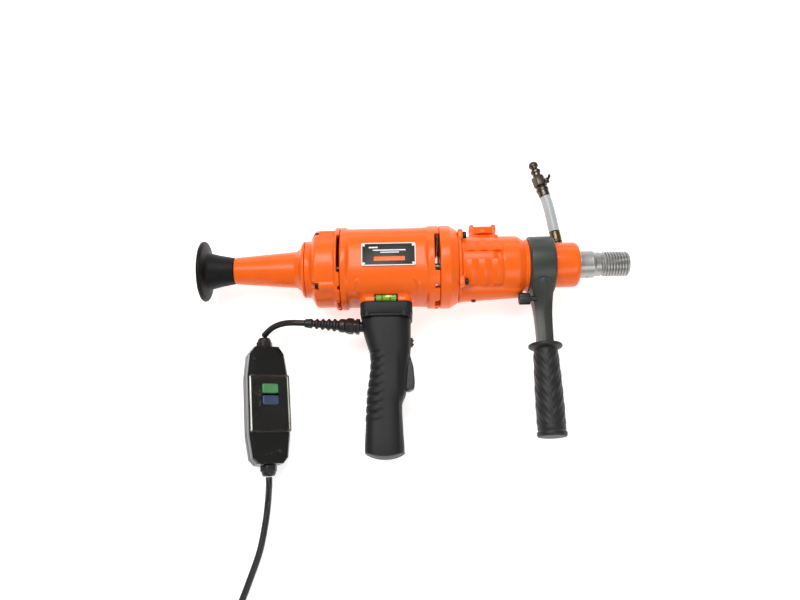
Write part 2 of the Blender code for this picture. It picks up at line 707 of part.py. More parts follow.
def prcd_matrix():
    tilt = Matrix.Rotation(math.radians(PRCD_TILT), 4, "Z")
    roll = Matrix.Rotation(math.radians(PRCD_ROLL), 4, "Y")
    corners = [(PRCD_HALF_W, -6.8), (3, -PRCD_HALF_T)]
    lowest = min((roll @ Vector((x, 0, z))).z for x, z in corners)
    return Matrix.Translation((PRCD_AT[0], PRCD_AT[1], -AXIS_HEIGHT - lowest)) @ tilt @ roll


def prcd_point(x, y, z):
    return prcd_matrix() @ Vector((x, y, z))


def in_prcd(obj):
    return turn(obj, prcd_matrix())


def prcd_loft(stations, outline):
    """Run a cross-section along the device, scaled across and in thickness at each station."""
    sections = []
    for y, across, thick in stations:
        sections.append([(x * across, y, z * thick) for x, z in outline])
    return in_prcd(loft(sections))


def build_prcd():
    half = PRCD_LENGTH / 2
    shell = ((-half, 0.62, 0.62), (-half + 7, 0.86, 0.8), (-38, 1.0, 1.0), (36, 1.0, 1.0), (half - 9, 0.86, 0.8),
             (half, 0.62, 0.62))
    hollow = ((-half + 3, 0.62, 0.6), (-38, 1.0, 1.0), (36, 1.0, 1.0), (half - 3, 0.62, 0.6))
    low, split = -PRCD_HALF_T, PRCD_SPLIT
    back = prcd_loft([(y, across, 1.0) for y, across, _ in shell],
                     [(-26, split), (-26, -6.8), (-3, low), (3, low), (26, -6.8), (26, split)])
    cut(back, prcd_loft([(y, across, 1.0) for y, across, _ in hollow],
                        [(-23, split + 2), (-23, -5), (-2, -16), (2, -16), (23, -5), (23, split + 2)]))
    front = prcd_loft([(y, across, 1.0) for y, across, _ in shell],
                      [(26, split + 0.3), (26, 13), (22.5, 15.6), (-22.5, 15.6), (-26, 13), (-26, split + 0.3)])
    cut(front, prcd_loft([(y, across, 1.0) for y, across, _ in hollow],
                         [(22.6, 0), (22.6, 12.4), (-22.6, 12.4), (-22.6, 0)]))
    for sign in (1, -1):
        for body in (back, front):
            cut(body, in_prcd(cylinder(6.4, sign * half - 6, sign * half + 6, "Y", 12, (0, 0, 3.2))))
    cut(front, in_prcd(box((-11, BLUE_BUTTON_Y - 6.4, 8), (11, GREEN_BUTTON_Y + 6.4, 18))))
    finish(back, "prcd_back_shell", "black_plastic")
    finish(front, "prcd_front_shell", "black_plastic")
    window = box((-25.4, -35.6, 15.9), (25.4, 35.6, PRCD_HALF_T + 0.8), 1.2)
    cut(window, box((-10.8, BLUE_BUTTON_Y - 6.2, 10), (10.8, GREEN_BUTTON_Y + 6.2, 30)))
    finish(in_prcd(window), "prcd_window", "smoked_plastic")
    for name, y, colour in (("reset_button", GREEN_BUTTON_Y, "green_plastic"),
                            ("test_button", BLUE_BUTTON_Y, "blue_plastic")):
        button = box((-10, y - 5.8, 9), (10, y + 5.8, PRCD_HALF_T + 2.6), 1.0)
        finish(in_prcd(button), name, colour, prcd_point(0, y, PRCD_HALF_T))
    for name, sign in (("prcd_gland_top", 1), ("prcd_gland_bottom", -1)):
        profile = [(half - 5, 0), (half - 5, 6), (half + 0.4, 6), (half + 0.4, 9.6), (half + 8, 9.6),
                   (half + 9.4, 8), (half + 13.5, 6.4), (half + 13.5, 0)]
        gland = lathe([(sign * y, r) for y, r in profile], "Y", 18, (0, 0, 3.2))
        finish(in_prcd(gland), name, "black_plastic")


# ---- supply cord ----

def tube(name, route, radius, spacing):
    """Round cord through a smooth curve that passes all the route points."""
    points = [Vector(point) for point in route]
    ends = [points[0] * 2 - points[1]] + points + [points[-1] * 2 - points[-2]]
    fine = []
    for i in range(1, len(ends) - 2):
        for step in range(24):
            fine.append(spline_point(ends[i - 1:i + 3], step / 24))
    fine.append(points[-1])
    length = sum((b - a).length for a, b in zip(fine, fine[1:]))
    count = max(3, round(length / spacing))
    curve = bpy.data.curves.new(name, "CURVE")
    curve.dimensions = "3D"
    curve.bevel_depth = radius * MM
    curve.bevel_resolution = 2
    curve.use_fill_caps = True
    spline = curve.splines.new("POLY")
    spline.points.add(count)
    for index in range(count + 1):
        spline.points[index].co = (*(point_at(fine, length * index / count) * MM), 1.0)
    curve.materials.append(PAINTS["black_plastic"])
    obj = bpy.data.objects.new(name, curve)
    obj.location = Vector((TOOL_X, TOOL_Y, AXIS_HEIGHT)) * MM
    bpy.context.scene.collection.objects.link(obj)


def spline_point(four, t):
    a, b, c, d = four
    return 0.5 * (b * 2 + (c - a) * t + (a * 2 - b * 5 + c * 4 - d) * t ** 2 + (b * 3 - a - c * 3 + d) * t ** 3)


def point_at(line, distance):
    for a, b in zip(line, line[1:]):
        step = (b - a).length
        if distance <= step and step > 0:
            return a.lerp(b, distance / step)
        distance -= step
    return line[-1]


def build_cords():
    floor = -AXIS_HEIGHT + CORD_R + 0.05
    boot = about_gland_point(-70.3)
    top = prcd_point(0, PRCD_LENGTH / 2 + 17.3, 3.2)
    tube("tool_lead", [boot, *TOOL_LEAD_BEND, top], CORD_R, 7)
    bottom = prcd_point(0, -PRCD_LENGTH / 2 - 14.8, 3.2)
    below = prcd_point(0, -PRCD_LENGTH / 2 - 22, 3.2)
    entry = COIL_AT[0] - COIL_MEAN_R - 2 * CORD_R
    route = [bottom, below, Vector((-165.5, -284, floor + 2.5)), Vector((-168, -308, floor + 0.4)),
             Vector((-174, -342, floor)), Vector((-186, -378, floor)), Vector((-197, -410, floor)),
             Vector((entry, COIL_AT[1] + 38, floor))]
    tube("mains_lead", route, CORD_R, 12)
    low = -AXIS_HEIGHT
    inner_r, outer_r = COIL_MEAN_R - COIL_HALF_W, COIL_MEAN_R + COIL_HALF_W
    coil = lathe([(low, inner_r + 4), (low, outer_r - 4), (low + 4, outer_r), (low + COIL_HEIGHT - 5, outer_r),
                  (low + COIL_HEIGHT, outer_r - 6), (low + COIL_HEIGHT, inner_r + 6),
                  (low + COIL_HEIGHT - 5, inner_r), (low + 4, inner_r)], "Z", 28, (*COIL_AT, 0))
    finish(coil, "mains_coil", "black_plastic")


def about_gland_point(distance):
    lean = Matrix.Rotation(math.radians(-GLAND_TILT), 4, "Z")
    return Matrix.Translation(Vector(GLAND_AT)) @ lean @ Vector((distance, 0, 0))


def build_plug():
    plug = lathe([(-46, 4.2), (-46, 5.8), (-30, 7.4), (-28, 12), (-20, 15), (-12, PLUG_R), (6, PLUG_R),
                  (8, PLUG_R - 2), (8, 0), (-40, 0), (-40, 4.2)], "Y", 20)
    for x in (-9.5, 9.5):
        pin = lathe([(6, 0), (6, 2.4), (25, 2.4), (26.6, 1.4), (26.6, 0)], "Y", 8, (x, 0, 0))
        add(plug, pin)
    turn(plug, Matrix.Translation((*PLUG_AT, -AXIS_HEIGHT + PLUG_R)))
    finish(plug, "plug", "black_plastic")


clear_scene()
PAINTS = build_materials()
build_breast_pad()
build_rear_cone()
build_rear_housing()
build_motor_housing()
build_nameplate()
build_level_vial()
build_motor()
build_gearbox_cover()
build_gearbox_housing()
build_bearing("rotor_rear_bearing", -105.4, -93, 5.3, 13.1)
build_bearing("rotor_front_bearing", 53, 65, 5.3, 13.1)
build_bearing("spindle_rear_bearing", 109, 121, 15.3, 24)
build_bearing("spindle_front_bearing", 176, 190, 15.3, 26.1)
finish(lathe([(190.4, 15.3), (190.4, 26), (195.4, 26), (195.4, 15.3)], segments=28), "shaft_seal", "dark_rubber")
build_water_collar()
build_spindle()
build_gears()
build_screws()
build_selector()
build_side_handle()
build_water_line()
build_grip()
build_gland()
build_prcd()
build_cords()
build_plug()
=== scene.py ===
"""Visual model of the hand-held wet core drill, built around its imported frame.

Pieces are modelled in the tool frame, in millimetres: X runs along the spindle towards its thread,
-Y towards both handles, +Z up, with the origin on the spindle axis. emit() puts them in the row frame.
"""
from math import copysign, cos, degrees, exp, pi, radians, sin, sqrt

import bmesh
import bpy
from mathutils import Matrix, Vector


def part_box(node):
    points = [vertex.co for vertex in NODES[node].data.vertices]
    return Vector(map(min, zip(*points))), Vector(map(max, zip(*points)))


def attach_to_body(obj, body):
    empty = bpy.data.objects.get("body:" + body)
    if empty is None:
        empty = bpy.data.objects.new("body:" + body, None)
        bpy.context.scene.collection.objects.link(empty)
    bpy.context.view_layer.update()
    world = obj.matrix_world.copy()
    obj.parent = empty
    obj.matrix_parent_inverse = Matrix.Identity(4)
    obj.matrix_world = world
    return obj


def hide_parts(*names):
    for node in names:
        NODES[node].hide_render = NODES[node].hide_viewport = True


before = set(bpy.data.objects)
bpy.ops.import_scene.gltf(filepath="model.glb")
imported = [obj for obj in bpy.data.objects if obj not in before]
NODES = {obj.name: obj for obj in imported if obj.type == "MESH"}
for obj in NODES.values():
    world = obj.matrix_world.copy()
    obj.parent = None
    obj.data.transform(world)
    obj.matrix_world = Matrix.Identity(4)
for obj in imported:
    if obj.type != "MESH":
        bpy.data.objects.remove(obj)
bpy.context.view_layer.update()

MM = 0.001

# The tool frame's origin, found from the spindle, whose thread ends at SPINDLE_END.
SPINDLE_END = 292.0
SPINDLE_LOW, SPINDLE_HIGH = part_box("spindle")
ORIGIN = Vector((SPINDLE_HIGH.x - SPINDLE_END * MM, (SPINDLE_LOW.y + SPINDLE_HIGH.y) / 2,
                 (SPINDLE_LOW.z + SPINDLE_HIGH.z) / 2))
TOOL = Matrix.Translation(ORIGIN) @ Matrix.Scale(MM, 4)
FLOOR = -ORIGIN.z / MM

# Casings.
FLANGE_R = 53.0
BARREL_R = 47.8
BARREL_BORE_R = 43.6
SQUARENESS = 2.7
REST_DROP = 50.0
REAR_SCREWS = 32.6
FRONT_BOLTS = 31.0
# Vent slots on the upper side: angle towards -Y from the top, and half the slot's length.
VENTS = ((-4.5, 25.0), (47.0, 3.0), (80.0, 6.5))
BELLY_Y = -24.0
COUNTERSHAFT_Y = -22.0
NECK_X = -17.0
SELECTOR_X = 108.0
CAST_VOXEL = 0.8

# Handles and water line.
HANDLE_X = 178.5
CLAMP_KNOB_AT = (0, -48, 11)
GLAND_AT = (-49.8, -77.4, 0.0)
GLAND_TILT = 5.2
NIPPLE_AT = (205.0, 24.0, 0.0)
NIPPLE_TILT = 8.2
VALVE_AT = (193.6, 96.0, 0.0)
VALVE_TILT = 15.0
HOSE_R = 7.0
HOSE_BORE_R = 4.2

# In-line residual current device.
PRCD_AT = (-170.5, -168.6)
PRCD_TILT = 4.0
PRCD_ROLL = 28.0
PRCD_LENGTH = 146.0
PRCD_HALF_W = 26.0
PRCD_HALF_T = 19.0
PRCD_SPLIT = 3.0
PRCD_CHAMFER_Z = -6.8
PRCD_KEEL_HALF_W = 3.0
PRCD_GLAND_Z = 3.2
GREEN_BUTTON_Y = 18.0
BLUE_BUTTON_Y = 3.4

# Cord.
CORD_R = 4.0
TOOL_LEAD_BEND = ((-133.4, -69.7, -1.8), (-145.5, -68.9, -6.4), (-156.3, -69.6, -13.1),
                  (-166.2, -72.5, -20.9))
COIL_MEAN_R = 48.0
COIL_AT = (-144.0, -476.0)
COIL_COLUMNS = 3
COIL_LAYERS = 4
COIL_POINTS = 16
PLUG_AT = (-58.0, -434.0)
PLUG_R = 18.5


# ---- mesh tools, in tool-frame millimetres ----

def new_object(bm, name="piece"):
    bmesh.ops.recalc_face_normals(bm, faces=bm.faces)
    mesh = bpy.data.meshes.new(name)
    bm.to_mesh(mesh)
    bm.free()
    obj = bpy.data.objects.new(name, mesh)
    bpy.context.scene.collection.objects.link(obj)
    return obj


def on_axis(axis, along, side, up):
    if axis == "X":
        return Vector((along, side, up))
    if axis == "Y":
        return Vector((up, along, side))
    return Vector((side, up, along))


def soften(outline, radius, steps=3, keep_axis=True):
    """Round every corner of a closed outline, except the points of a turned profile on its axis."""
    points = [Vector(point) for point in outline]
    result = []
    for index, point in enumerate(points):
        if keep_axis and point.y <= 0.01:
            result.append(point)
            continue
        before = points[index - 1] - point
        after = points[(index + 1) % len(points)] - point
        reach = min(radius, 0.45 * before.length, 0.45 * after.length)
        start = point + before.normalized() * reach
        end = point + after.normalized() * reach
        for step in range(steps + 1):
            t = step / steps
            result.append(start * (1 - t) ** 2 + point * (2 * t * (1 - t)) + end * t ** 2)
    return result


def bridge(bm, first, second):
    count = max(len(first), len(second))
    if count == 1:
        return
    for step in range(count):
        corners = []
        following = (step + 1) % count
        for vert in (first[step % len(first)], first[following % len(first)],
                     second[following % len(second)], second[step % len(second)]):
            if vert not in corners:
                corners.append(vert)
        bm.faces.new(corners)


def lathe(profile, axis="X", segments=96, centre=(0, 0, 0), soft=0.5, relief=None, sector=None):
    """Turn a closed profile of (along, radius) points; relief(along, angle) adds to the radius."""
    bm = bmesh.new()
    offset = Vector(centre)
    rings = []
    start, end = sector or (0.0, 360.0)
    count = segments + 1 if sector else segments
    for along, radius in (soften(profile, soft) if soft else profile):
        if radius <= 0:
            rings.append([bm.verts.new(on_axis(axis, along, 0, 0) + offset)])
            continue
        ring = []
        for step in range(count):
            angle = radians(start + (end - start) * step / segments)
            reach = radius + (relief(along, angle) if relief else 0.0)
            point = on_axis(axis, along, reach * cos(angle), reach * sin(angle))
            ring.append(bm.verts.new(point + offset))
        rings.append(ring)
    for first, second in zip(rings, rings[1:] + rings[:1]):
        if not sector:
            bridge(bm, first, second)
            continue
        for step in range(segments):
            bm.faces.new((first[step], first[step + 1], second[step + 1], second[step]))
    if sector:
        bm.faces.new([ring[0] for ring in rings])
        bm.faces.new([ring[-1] for ring in rings])
    return new_object(bm)


def loft(sections, closed=False):
    """Skin equal loops; cap both ends, or join the last to the first when closed."""
    bm = bmesh.new()
    rings = [[bm.verts.new(Vector(point)) for point in section] for section in sections]
    for first, second in zip(rings, rings[1:]):
        bridge(bm, first, second)
    if closed:
        bridge(bm, rings[-1], rings[0])
    else:
        bm.faces.new(rings[0])
        bm.faces.new(rings[-1])
    return new_object(bm)


def inset(outline, distance):
    """Move each point of a counter-clockwise outline inwards along its normal."""
    points = [Vector(point) for point in outline]
    area = sum(a.x * b.y - b.x * a.y for a, b in zip(points, points[1:] + points[:1]))
    turn = 1 if area > 0 else -1
    result = []
    for index, point in enumerate(points):
        along = points[(index + 1) % len(points)] - points[index - 1]
        if along.length < 1e-6:
            result.append(point)
            continue
        normal = Vector((-along.y, along.x)).normalized() * turn
        result.append(point + normal * distance)
    return result


def prism(outline, start, end, axis="Z", edge=0.6, steps=3):
    """Extrude an outline along an axis, with both rims rounded by edge."""
    sign = 1 if end > start else -1
    stations = []
    for step in range(steps + 1):
        angle = pi / 2 * (1 - step / steps)
        stations.append((start + sign * edge * (1 - sin(angle)), edge * (1 - cos(angle))))
    stations += [(start + end - along, depth) for along, depth in reversed(stations)]
    return loft([[on_axis(axis, along, *point) for point in inset(outline, depth)]
                 for along, depth in stations])


def rounded_rectangle(half_w, half_h, radius, steps=6, centre=(0, 0)):
    points = []
    for corner, (sx, sy) in enumerate(((1, 1), (-1, 1), (-1, -1), (1, -1))):
        for step in range(steps + 1):
            angle = pi / 2 * (corner + step / steps)
            points.append((centre[0] + sx * (half_w - radius) + radius * cos(angle),
                           centre[1] + sy * (half_h - radius) + radius * sin(angle)))
    return points


def block(low, high, edge=0.8, corner=None, axis="Z"):
    """Rounded block between two corners, extruded along axis."""
    order = {"X": (1, 2, 0), "Y": (2, 0, 1), "Z": (0, 1, 2)}[axis]
    side, up, along = ((low[i], high[i]) for i in order)
    outline = rounded_rectangle((side[1] - side[0]) / 2, (up[1] - up[0]) / 2, corner or 1.6 * edge, 4,
                                ((side[0] + side[1]) / 2, (up[0] + up[1]) / 2))
    return prism(outline, along[0], along[1], axis, edge)


def cylinder(radius, start, end, axis="X", segments=32, centre=(0, 0, 0), soft=0.0):
    return lathe([(start, 0), (start, radius), (end, radius), (end, 0)], axis, segments, centre, soft)


def circle(centre, side, up, radius, sides):
    return [centre + (side * cos(2 * pi * k / sides) + up * sin(2 * pi * k / sides)) * radius
            for k in range(sides)]


def hermite(a, b, rise, fall, t):
    """Between a and b at share t, leaving with slope rise and arriving with slope fall."""
    return (a * (2 * t ** 3 - 3 * t ** 2 + 1) + rise * (t ** 3 - 2 * t ** 2 + t)
            + b * (3 * t ** 2 - 2 * t ** 3) + fall * (t ** 3 - t ** 2))


def sweep(points, radius, sides=12):
    """Round rod through points, tapered at both ends."""
    line = [Vector(point) for point in points]
    rings = []
    for index, point in enumerate(line):
        along = (line[min(index + 1, len(line) - 1)] - line[max(index - 1, 0)]).normalized()
        side = along.cross(Vector((0.1, 0.2, 1))).normalized()
        up = along.cross(side)
        share = index / (len(line) - 1)
        thick = radius * (0.35 + 0.65 * min(1, 5 * share, 5 * (1 - share)))
        rings.append(circle(point, side, up, thick, sides))
    return loft(rings)


def sphere(radius, centre, segments=32):
    steps = 14
    profile = [(-radius * cos(pi * k / steps), radius * sin(pi * k / steps))
               for k in range(steps + 1)]
    profile[0] = (-radius, 0)
    profile[-1] = (radius, 0)
    return lathe(profile, "Y", segments, centre, 0)


def joined(*objects):
    bm = bmesh.new()
    for obj in objects:
        bm.from_mesh(obj.data)
        bpy.data.objects.remove(obj, do_unlink=True)
    return new_object(bm)


def apply_modifiers(obj):
    bpy.context.view_layer.update()
    graph = bpy.context.evaluated_depsgraph_get()
    result = bpy.data.meshes.new_from_object(obj.evaluated_get(graph))
    obj.modifiers.clear()
    obj.data = result
    return obj


def hexagon(across, centre=(0, 0)):
    radius = across / sqrt(3)
    return [(centre[0] + radius * cos(radians(60 * k + 30)),
             centre[1] + radius * sin(radians(60 * k + 30))) for k in range(6)]


def hex_nut(across, corner, start, end, axis, edge, centre=(0, 0)):
    return prism(soften(hexagon(across, centre), corner, 3, False), start, end, axis, edge)


def cut(obj, *cutters):
    for cutter in cutters:
        modifier = obj.modifiers.new("cut", "BOOLEAN")
        modifier.operation = "DIFFERENCE"
        modifier.solver = "EXACT"
        modifier.object = cutter
        apply_modifiers(obj)
        bpy.data.objects.remove(cutter, do_unlink=True)
    return obj


def cast(*parts, voxel=CAST_VOXEL, passes=5):
    """Melt overlapping solids into one casting with small fillets."""
    obj = joined(*parts)
    remesh = obj.modifiers.new("remesh", "REMESH")
    remesh.mode = "VOXEL"
    remesh.voxel_size = voxel
    smooth = obj.modifiers.new("smooth", "SMOOTH")
    smooth.factor = 0.5
    smooth.iterations = passes
    return apply_modifiers(obj)


def bevelled(obj, width=0.6, angle=28, segments=3):
    modifier = obj.modifiers.new("bevel", "BEVEL")
    modifier.width = width
    modifier.segments = segments
    modifier.limit_method = "ANGLE"
    modifier.angle_limit = radians(angle)
    return apply_modifiers(obj)


def moved(obj, matrix):
    obj.data.transform(matrix)
    return obj


def about_x(obj, angle):
    return moved(obj, Matrix.Rotation(radians(angle), 4, "X"))


def shifted(obj, offset):
    return moved(obj, Matrix.Translation(Vector(offset)))


def tilted(obj, point, angle):
    """Move a solid built about the origin along Y to a point, leaning towards -X."""
    return moved(obj, Matrix.Translation(Vector(point)) @ Matrix.Rotation(radians(angle), 4, "Z"))


def leaning_point(point, angle, distance):
    lean = radians(angle)
    return Vector(point) + Vector((-sin(lean), cos(lean), 0)) * distance


def emit(obj, name, look, *nodes, body="machine", sharp=38):
    """Name, paint and shade a finished piece, and put it on its body in the row frame."""
    material, slot = LOOKS[look]
    obj.name = name
    obj.data.name = name
    obj.data.transform(TOOL)
    obj.data.materials.clear()
    obj.data.materials.append(material)
    obj.data.shade_smooth()
    obj.data.set_sharp_from_angle(angle=radians(sharp))
    return attach(obj, body, nodes)


def stand_in(obj, node, look, **options):
    """Emit the piece that takes the place of one node and is named after it."""
    return emit(obj, node + "_fine", look, node, **options)


def attach(obj, body, nodes=()):
    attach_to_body(obj, body)
    if nodes:
        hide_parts(*nodes)
    return obj


# ---- materials ----

def surface(name, colour, roughness, metallic=0.0, mottle=0.1, patch=30.0, grain=900.0, bump=0.1,
            spread=0.07, wear=None, stretch=(1, 1, 1), pebbles=0.0, coat=0.0, **constants):
    """Procedural finish: two sizes of mottling, grain in bump and roughness, and rubbed edges."""
    material = bpy.data.materials.new(name)
    material.use_nodes = True
    nodes = material.node_tree.nodes
    link = material.node_tree.links.new
    shader = nodes["Principled BSDF"]
    place = nodes.new("ShaderNodeTexCoord")
    mapping = nodes.new("ShaderNodeMapping")
    mapping.inputs["Scale"].default_value = stretch
    link(place.outputs["Object"], mapping.inputs["Vector"])

    def noise(scale, detail):
        texture = nodes.new("ShaderNodeTexNoise")
        texture.inputs["Scale"].default_value = scale
        texture.inputs["Detail"].default_value = detail
        link(mapping.outputs["Vector"], texture.inputs["Vector"])
        return texture.outputs["Fac"]

    def ranged(value, low, high, start=0.3, end=0.7):
        node = nodes.new("ShaderNodeMapRange")
        node.inputs["From Min"].default_value = start
        node.inputs["From Max"].default_value = end
        node.inputs["To Min"].default_value = low
        node.inputs["To Max"].default_value = high
        link(value, node.inputs["Value"])
        return node.outputs["Result"]

    def mix(factor, first, second):
        node = nodes.new("ShaderNodeMix")
        node.data_type = "RGBA"
        link(factor, node.inputs["Factor"])
        for socket, value in ((node.inputs["A"], first), (node.inputs["B"], second)):
            if isinstance(value, tuple):
                socket.default_value = (*value, 1.0)
            else:
                link(value, socket)
        return node.outputs["Result"]

    broad = noise(patch, 3.0)
    fine = noise(grain, 2.0)
    dark = tuple(channel * (1 - mottle) for channel in colour)
    light = tuple(min(1.0, channel * (1 + mottle)) for channel in colour)
    tint = mix(ranged(broad, 0.0, 1.0), dark, light)
    if wear:
        geometry = nodes.new("ShaderNodeNewGeometry")
        rubbed = nodes.new("ShaderNodeMath")
        rubbed.operation = "MULTIPLY"
        link(ranged(geometry.outputs["Pointiness"], 0.0, 0.55, 0.54, 0.68), rubbed.inputs[0])
        link(ranged(noise(patch * 6, 4.0), 0.0, 1.0, 0.45, 0.65), rubbed.inputs[1])
        tint = mix(rubbed.outputs["Value"], tint, wear)
    link(tint, shader.inputs["Base Color"])
    link(ranged(fine, roughness - spread, roughness + spread), shader.inputs["Roughness"])
    height = fine
    if pebbles:
        cells = nodes.new("ShaderNodeTexVoronoi")
        cells.inputs["Scale"].default_value = pebbles
        link(mapping.outputs["Vector"], cells.inputs["Vector"])
        height = cells.outputs["Distance"]
    relief = nodes.new("ShaderNodeBump")
    relief.inputs["Strength"].default_value = bump
    relief.inputs["Distance"].default_value = 0.0004
    link(height, relief.inputs["Height"])
    link(relief.outputs["Normal"], shader.inputs["Normal"])
    shader.inputs["Metallic"].default_value = metallic
    shader.inputs["Coat Weight"].default_value = coat
    shader.inputs["Coat Roughness"].default_value = 0.08
    for socket, value in constants.items():
        shader.inputs[socket.replace("_", " ")].default_value = value
    return material


def build_looks():
    plain_wear = (0.16, 0.16, 0.155)
    recipes = {
        "paint": ("orange_paint", dict(
            colour=(1.0, 0.14, 0.007), roughness=0.32, mottle=0.05, grain=650, bump=0.02,
            wear=(1.0, 0.22, 0.04), coat=0.12, Specular_IOR_Level=0.28)),
        "plate_black": ("black_plastic", dict(
            colour=(0.004, 0.004, 0.0045), roughness=0.3, bump=0.05, Specular_IOR_Level=0.25)),
        "plate_print": ("steel", dict(colour=(0.82, 0.82, 0.8), roughness=0.35, bump=0.05)),
        "grip": ("black_plastic", dict(
            colour=(0.013, 0.013, 0.0135), roughness=0.5, Specular_IOR_Level=0.26, pebbles=1500,
            bump=0.16, wear=plain_wear)),
        "moulding": ("black_plastic", dict(
            colour=(0.012, 0.012, 0.013), roughness=0.4, pebbles=1900, bump=0.1, wear=plain_wear)),
        "gloss_black": ("black_plastic", dict(
            colour=(0.006, 0.006, 0.0055), roughness=0.2, grain=1400, bump=0.04, wear=plain_wear)),
        "pad_rubber": ("dark_rubber", dict(
            colour=(0.004, 0.004, 0.0043), roughness=0.5, Specular_IOR_Level=0.2, pebbles=1300,
            bump=0.15, wear=(0.1, 0.1, 0.1))),
        "sleeve_rubber": ("dark_rubber", dict(
            colour=(0.014, 0.0145, 0.014), roughness=0.5, Specular_IOR_Level=0.4, pebbles=1700,
            bump=0.14, wear=(0.12, 0.12, 0.12))),
        "cord_skin": ("cord_rubber", dict(
            colour=(0.011, 0.011, 0.0115), roughness=0.38, grain=1200, bump=0.08)),
        "casting": ("grey_casting", dict(
            colour=(0.046, 0.05, 0.043), roughness=0.42, metallic=0.25, grain=800, bump=0.22,
            wear=(0.2, 0.21, 0.19))),
        "bright_steel": ("steel", dict(
            colour=(0.4, 0.395, 0.38), roughness=0.4, metallic=0.9, grain=60, stretch=(22, 1, 1),
            bump=0.005, spread=0.03)),
        "oxide_steel": ("black_steel", dict(
            colour=(0.018, 0.018, 0.019), roughness=0.35, metallic=0.7, wear=(0.25, 0.24, 0.23))),
        "laminations": ("iron_core", dict(
            colour=(0.28, 0.28, 0.29), roughness=0.45, metallic=0.9, grain=70, stretch=(30, 1, 1),
            bump=0.3)),
        "copper": ("copper", dict(colour=(0.72, 0.36, 0.2), roughness=0.35, metallic=1.0)),
        "brass": ("brass", dict(
            colour=(0.13, 0.1, 0.055), roughness=0.3, metallic=1.0, mottle=0.2, wear=(0.6, 0.5, 0.3))),
        "plated": ("nickel", dict(
            colour=(0.1, 0.085, 0.066), roughness=0.26, metallic=1.0, mottle=0.25,
            wear=(0.6, 0.56, 0.48))),
        "clear_hose": ("clear_plastic", dict(
            colour=(0.5, 0.53, 0.53), roughness=0.22, bump=0.05, mottle=0.06, Transmission_Weight=0.12,
            IOR=1.4)),
        "clear_cover": ("smoked_plastic", dict(
            colour=(0.7, 0.68, 0.62), roughness=0.07, bump=0.02, spread=0.03, Transmission_Weight=1.0,
            IOR=1.45)),
        "vial_glass": ("vial_liquid", dict(
            colour=(0.42, 0.85, 0.08), roughness=0.08, bump=0.02, spread=0.03, Transmission_Weight=0.55,
            IOR=1.45)),
        "vial_bubble": ("vial_liquid", dict(
            colour=(0.9, 0.95, 0.4), roughness=0.1, bump=0.02, spread=0.03)),
        "green": ("green_plastic", dict(colour=(0.08, 0.27, 0.1), roughness=0.3, bump=0.05)),
        "blue": ("blue_plastic", dict(colour=(0.042, 0.068, 0.14), roughness=0.3, bump=0.05)),
    }
    return {name: (surface(name, **recipe), slot) for name, (slot, recipe) in recipes.items()}


LOOKS = build_looks()


# ---- camera and light ----

CAMERA_TARGET = (0.0, -43.0, 0.0)
CAMERA_DISTANCE = 970.0
CAMERA_HEIGHT_ANGLE = 72.0
CAMERA_ROLL = -1.1
CAMERA_LENS = 34.6


def build_camera():
    lift = radians(CAMERA_HEIGHT_ANGLE)
    target = TOOL @ Vector(CAMERA_TARGET)
    eye = target + Vector((0, -cos(lift), sin(lift))) * CAMERA_DISTANCE * MM
    data = bpy.data.cameras.new("camera")
    data.lens = CAMERA_LENS
    data.sensor_width = 36.0
    camera = bpy.data.objects.new("camera", data)
    bpy.context.scene.collection.objects.link(camera)
    facing = (target - eye).to_track_quat("-Z", "Y").to_matrix().to_4x4()
    camera.matrix_world = (Matrix.Translation(eye) @ facing
                           @ Matrix.Rotation(radians(CAMERA_ROLL), 4, "Z"))
    bpy.context.scene.camera = camera


def area_light(name, place, aim, size, watts, colour=(1, 1, 1)):
    data = bpy.data.lights.new(name, "AREA")
    data.shape = "RECTANGLE"
    data.size, data.size_y = size
    data.energy = watts
    data.color = colour
    light = bpy.data.objects.new(name, data)
    bpy.context.scene.collection.objects.link(light)
    light.location = place
    light.rotation_euler = (Vector(aim) - Vector(place)).to_track_quat("-Z", "Y").to_euler()


def build_studio():
    world = bpy.data.worlds.new("studio")
    bpy.context.scene.world = world
    world.use_nodes = True
    world.node_tree.nodes["Background"].inputs["Color"].default_value = (1, 1, 1, 1)
    world.node_tree.nodes["Background"].inputs["Strength"].default_value = 0.3
    area_light("key", (-0.25, 0.35, 1.35), (0, 0, 0), (1.3, 0.45), 14)
    area_light("fill", (0.5, -0.9, 0.9), (0, -0.1, 0), (0.9, 0.5), 4)
    area_light("strip", (0.0, 1.0, 0.4), (0, 0, 0.05), (1.8, 0.3), 3)
    bpy.context.scene.view_settings.view_transform = "Standard"
    bm = bmesh.new()
    bmesh.ops.create_grid(bm, x_segments=8, y_segments=8, size=3.0)
    floor = new_object(bm, "studio_floor")
    material = bpy.data.materials.new("studio_floor")
    material.use_nodes = True
    shader = material.node_tree.nodes["Principled BSDF"]
    shader.inputs["Base Color"].default_value = (0.9, 0.9, 0.9, 1)
    shader.inputs["Emission Color"].default_value = (1, 1, 1, 1)
    shader.inputs["Emission Strength"].default_value = 0.62
    shader.inputs["Roughness"].default_value = 0.9
    floor.data.materials.append(material)
    floor.location.z = -0.0004


# ---- supply cord ----

def prcd_matrix():
    """Place of the device, which lies on one chamfered edge of its back."""
    tilt = Matrix.Rotation(radians(PRCD_TILT), 4, "Z")
    roll = Matrix.Rotation(radians(PRCD_ROLL), 4, "Y")
    corners = [(PRCD_HALF_W, PRCD_CHAMFER_Z), (PRCD_KEEL_HALF_W, -PRCD_HALF_T)]
    lowest = min((roll @ Vector((x, 0, z))).z for x, z in corners)
    return Matrix.Translation((PRCD_AT[0], PRCD_AT[1], FLOOR - lowest)) @ tilt @ roll


PRCD = prcd_matrix()
GLAND = Matrix.Translation(Vector(GLAND_AT)) @ Matrix.Rotation(radians(-GLAND_TILT), 4, "Z")


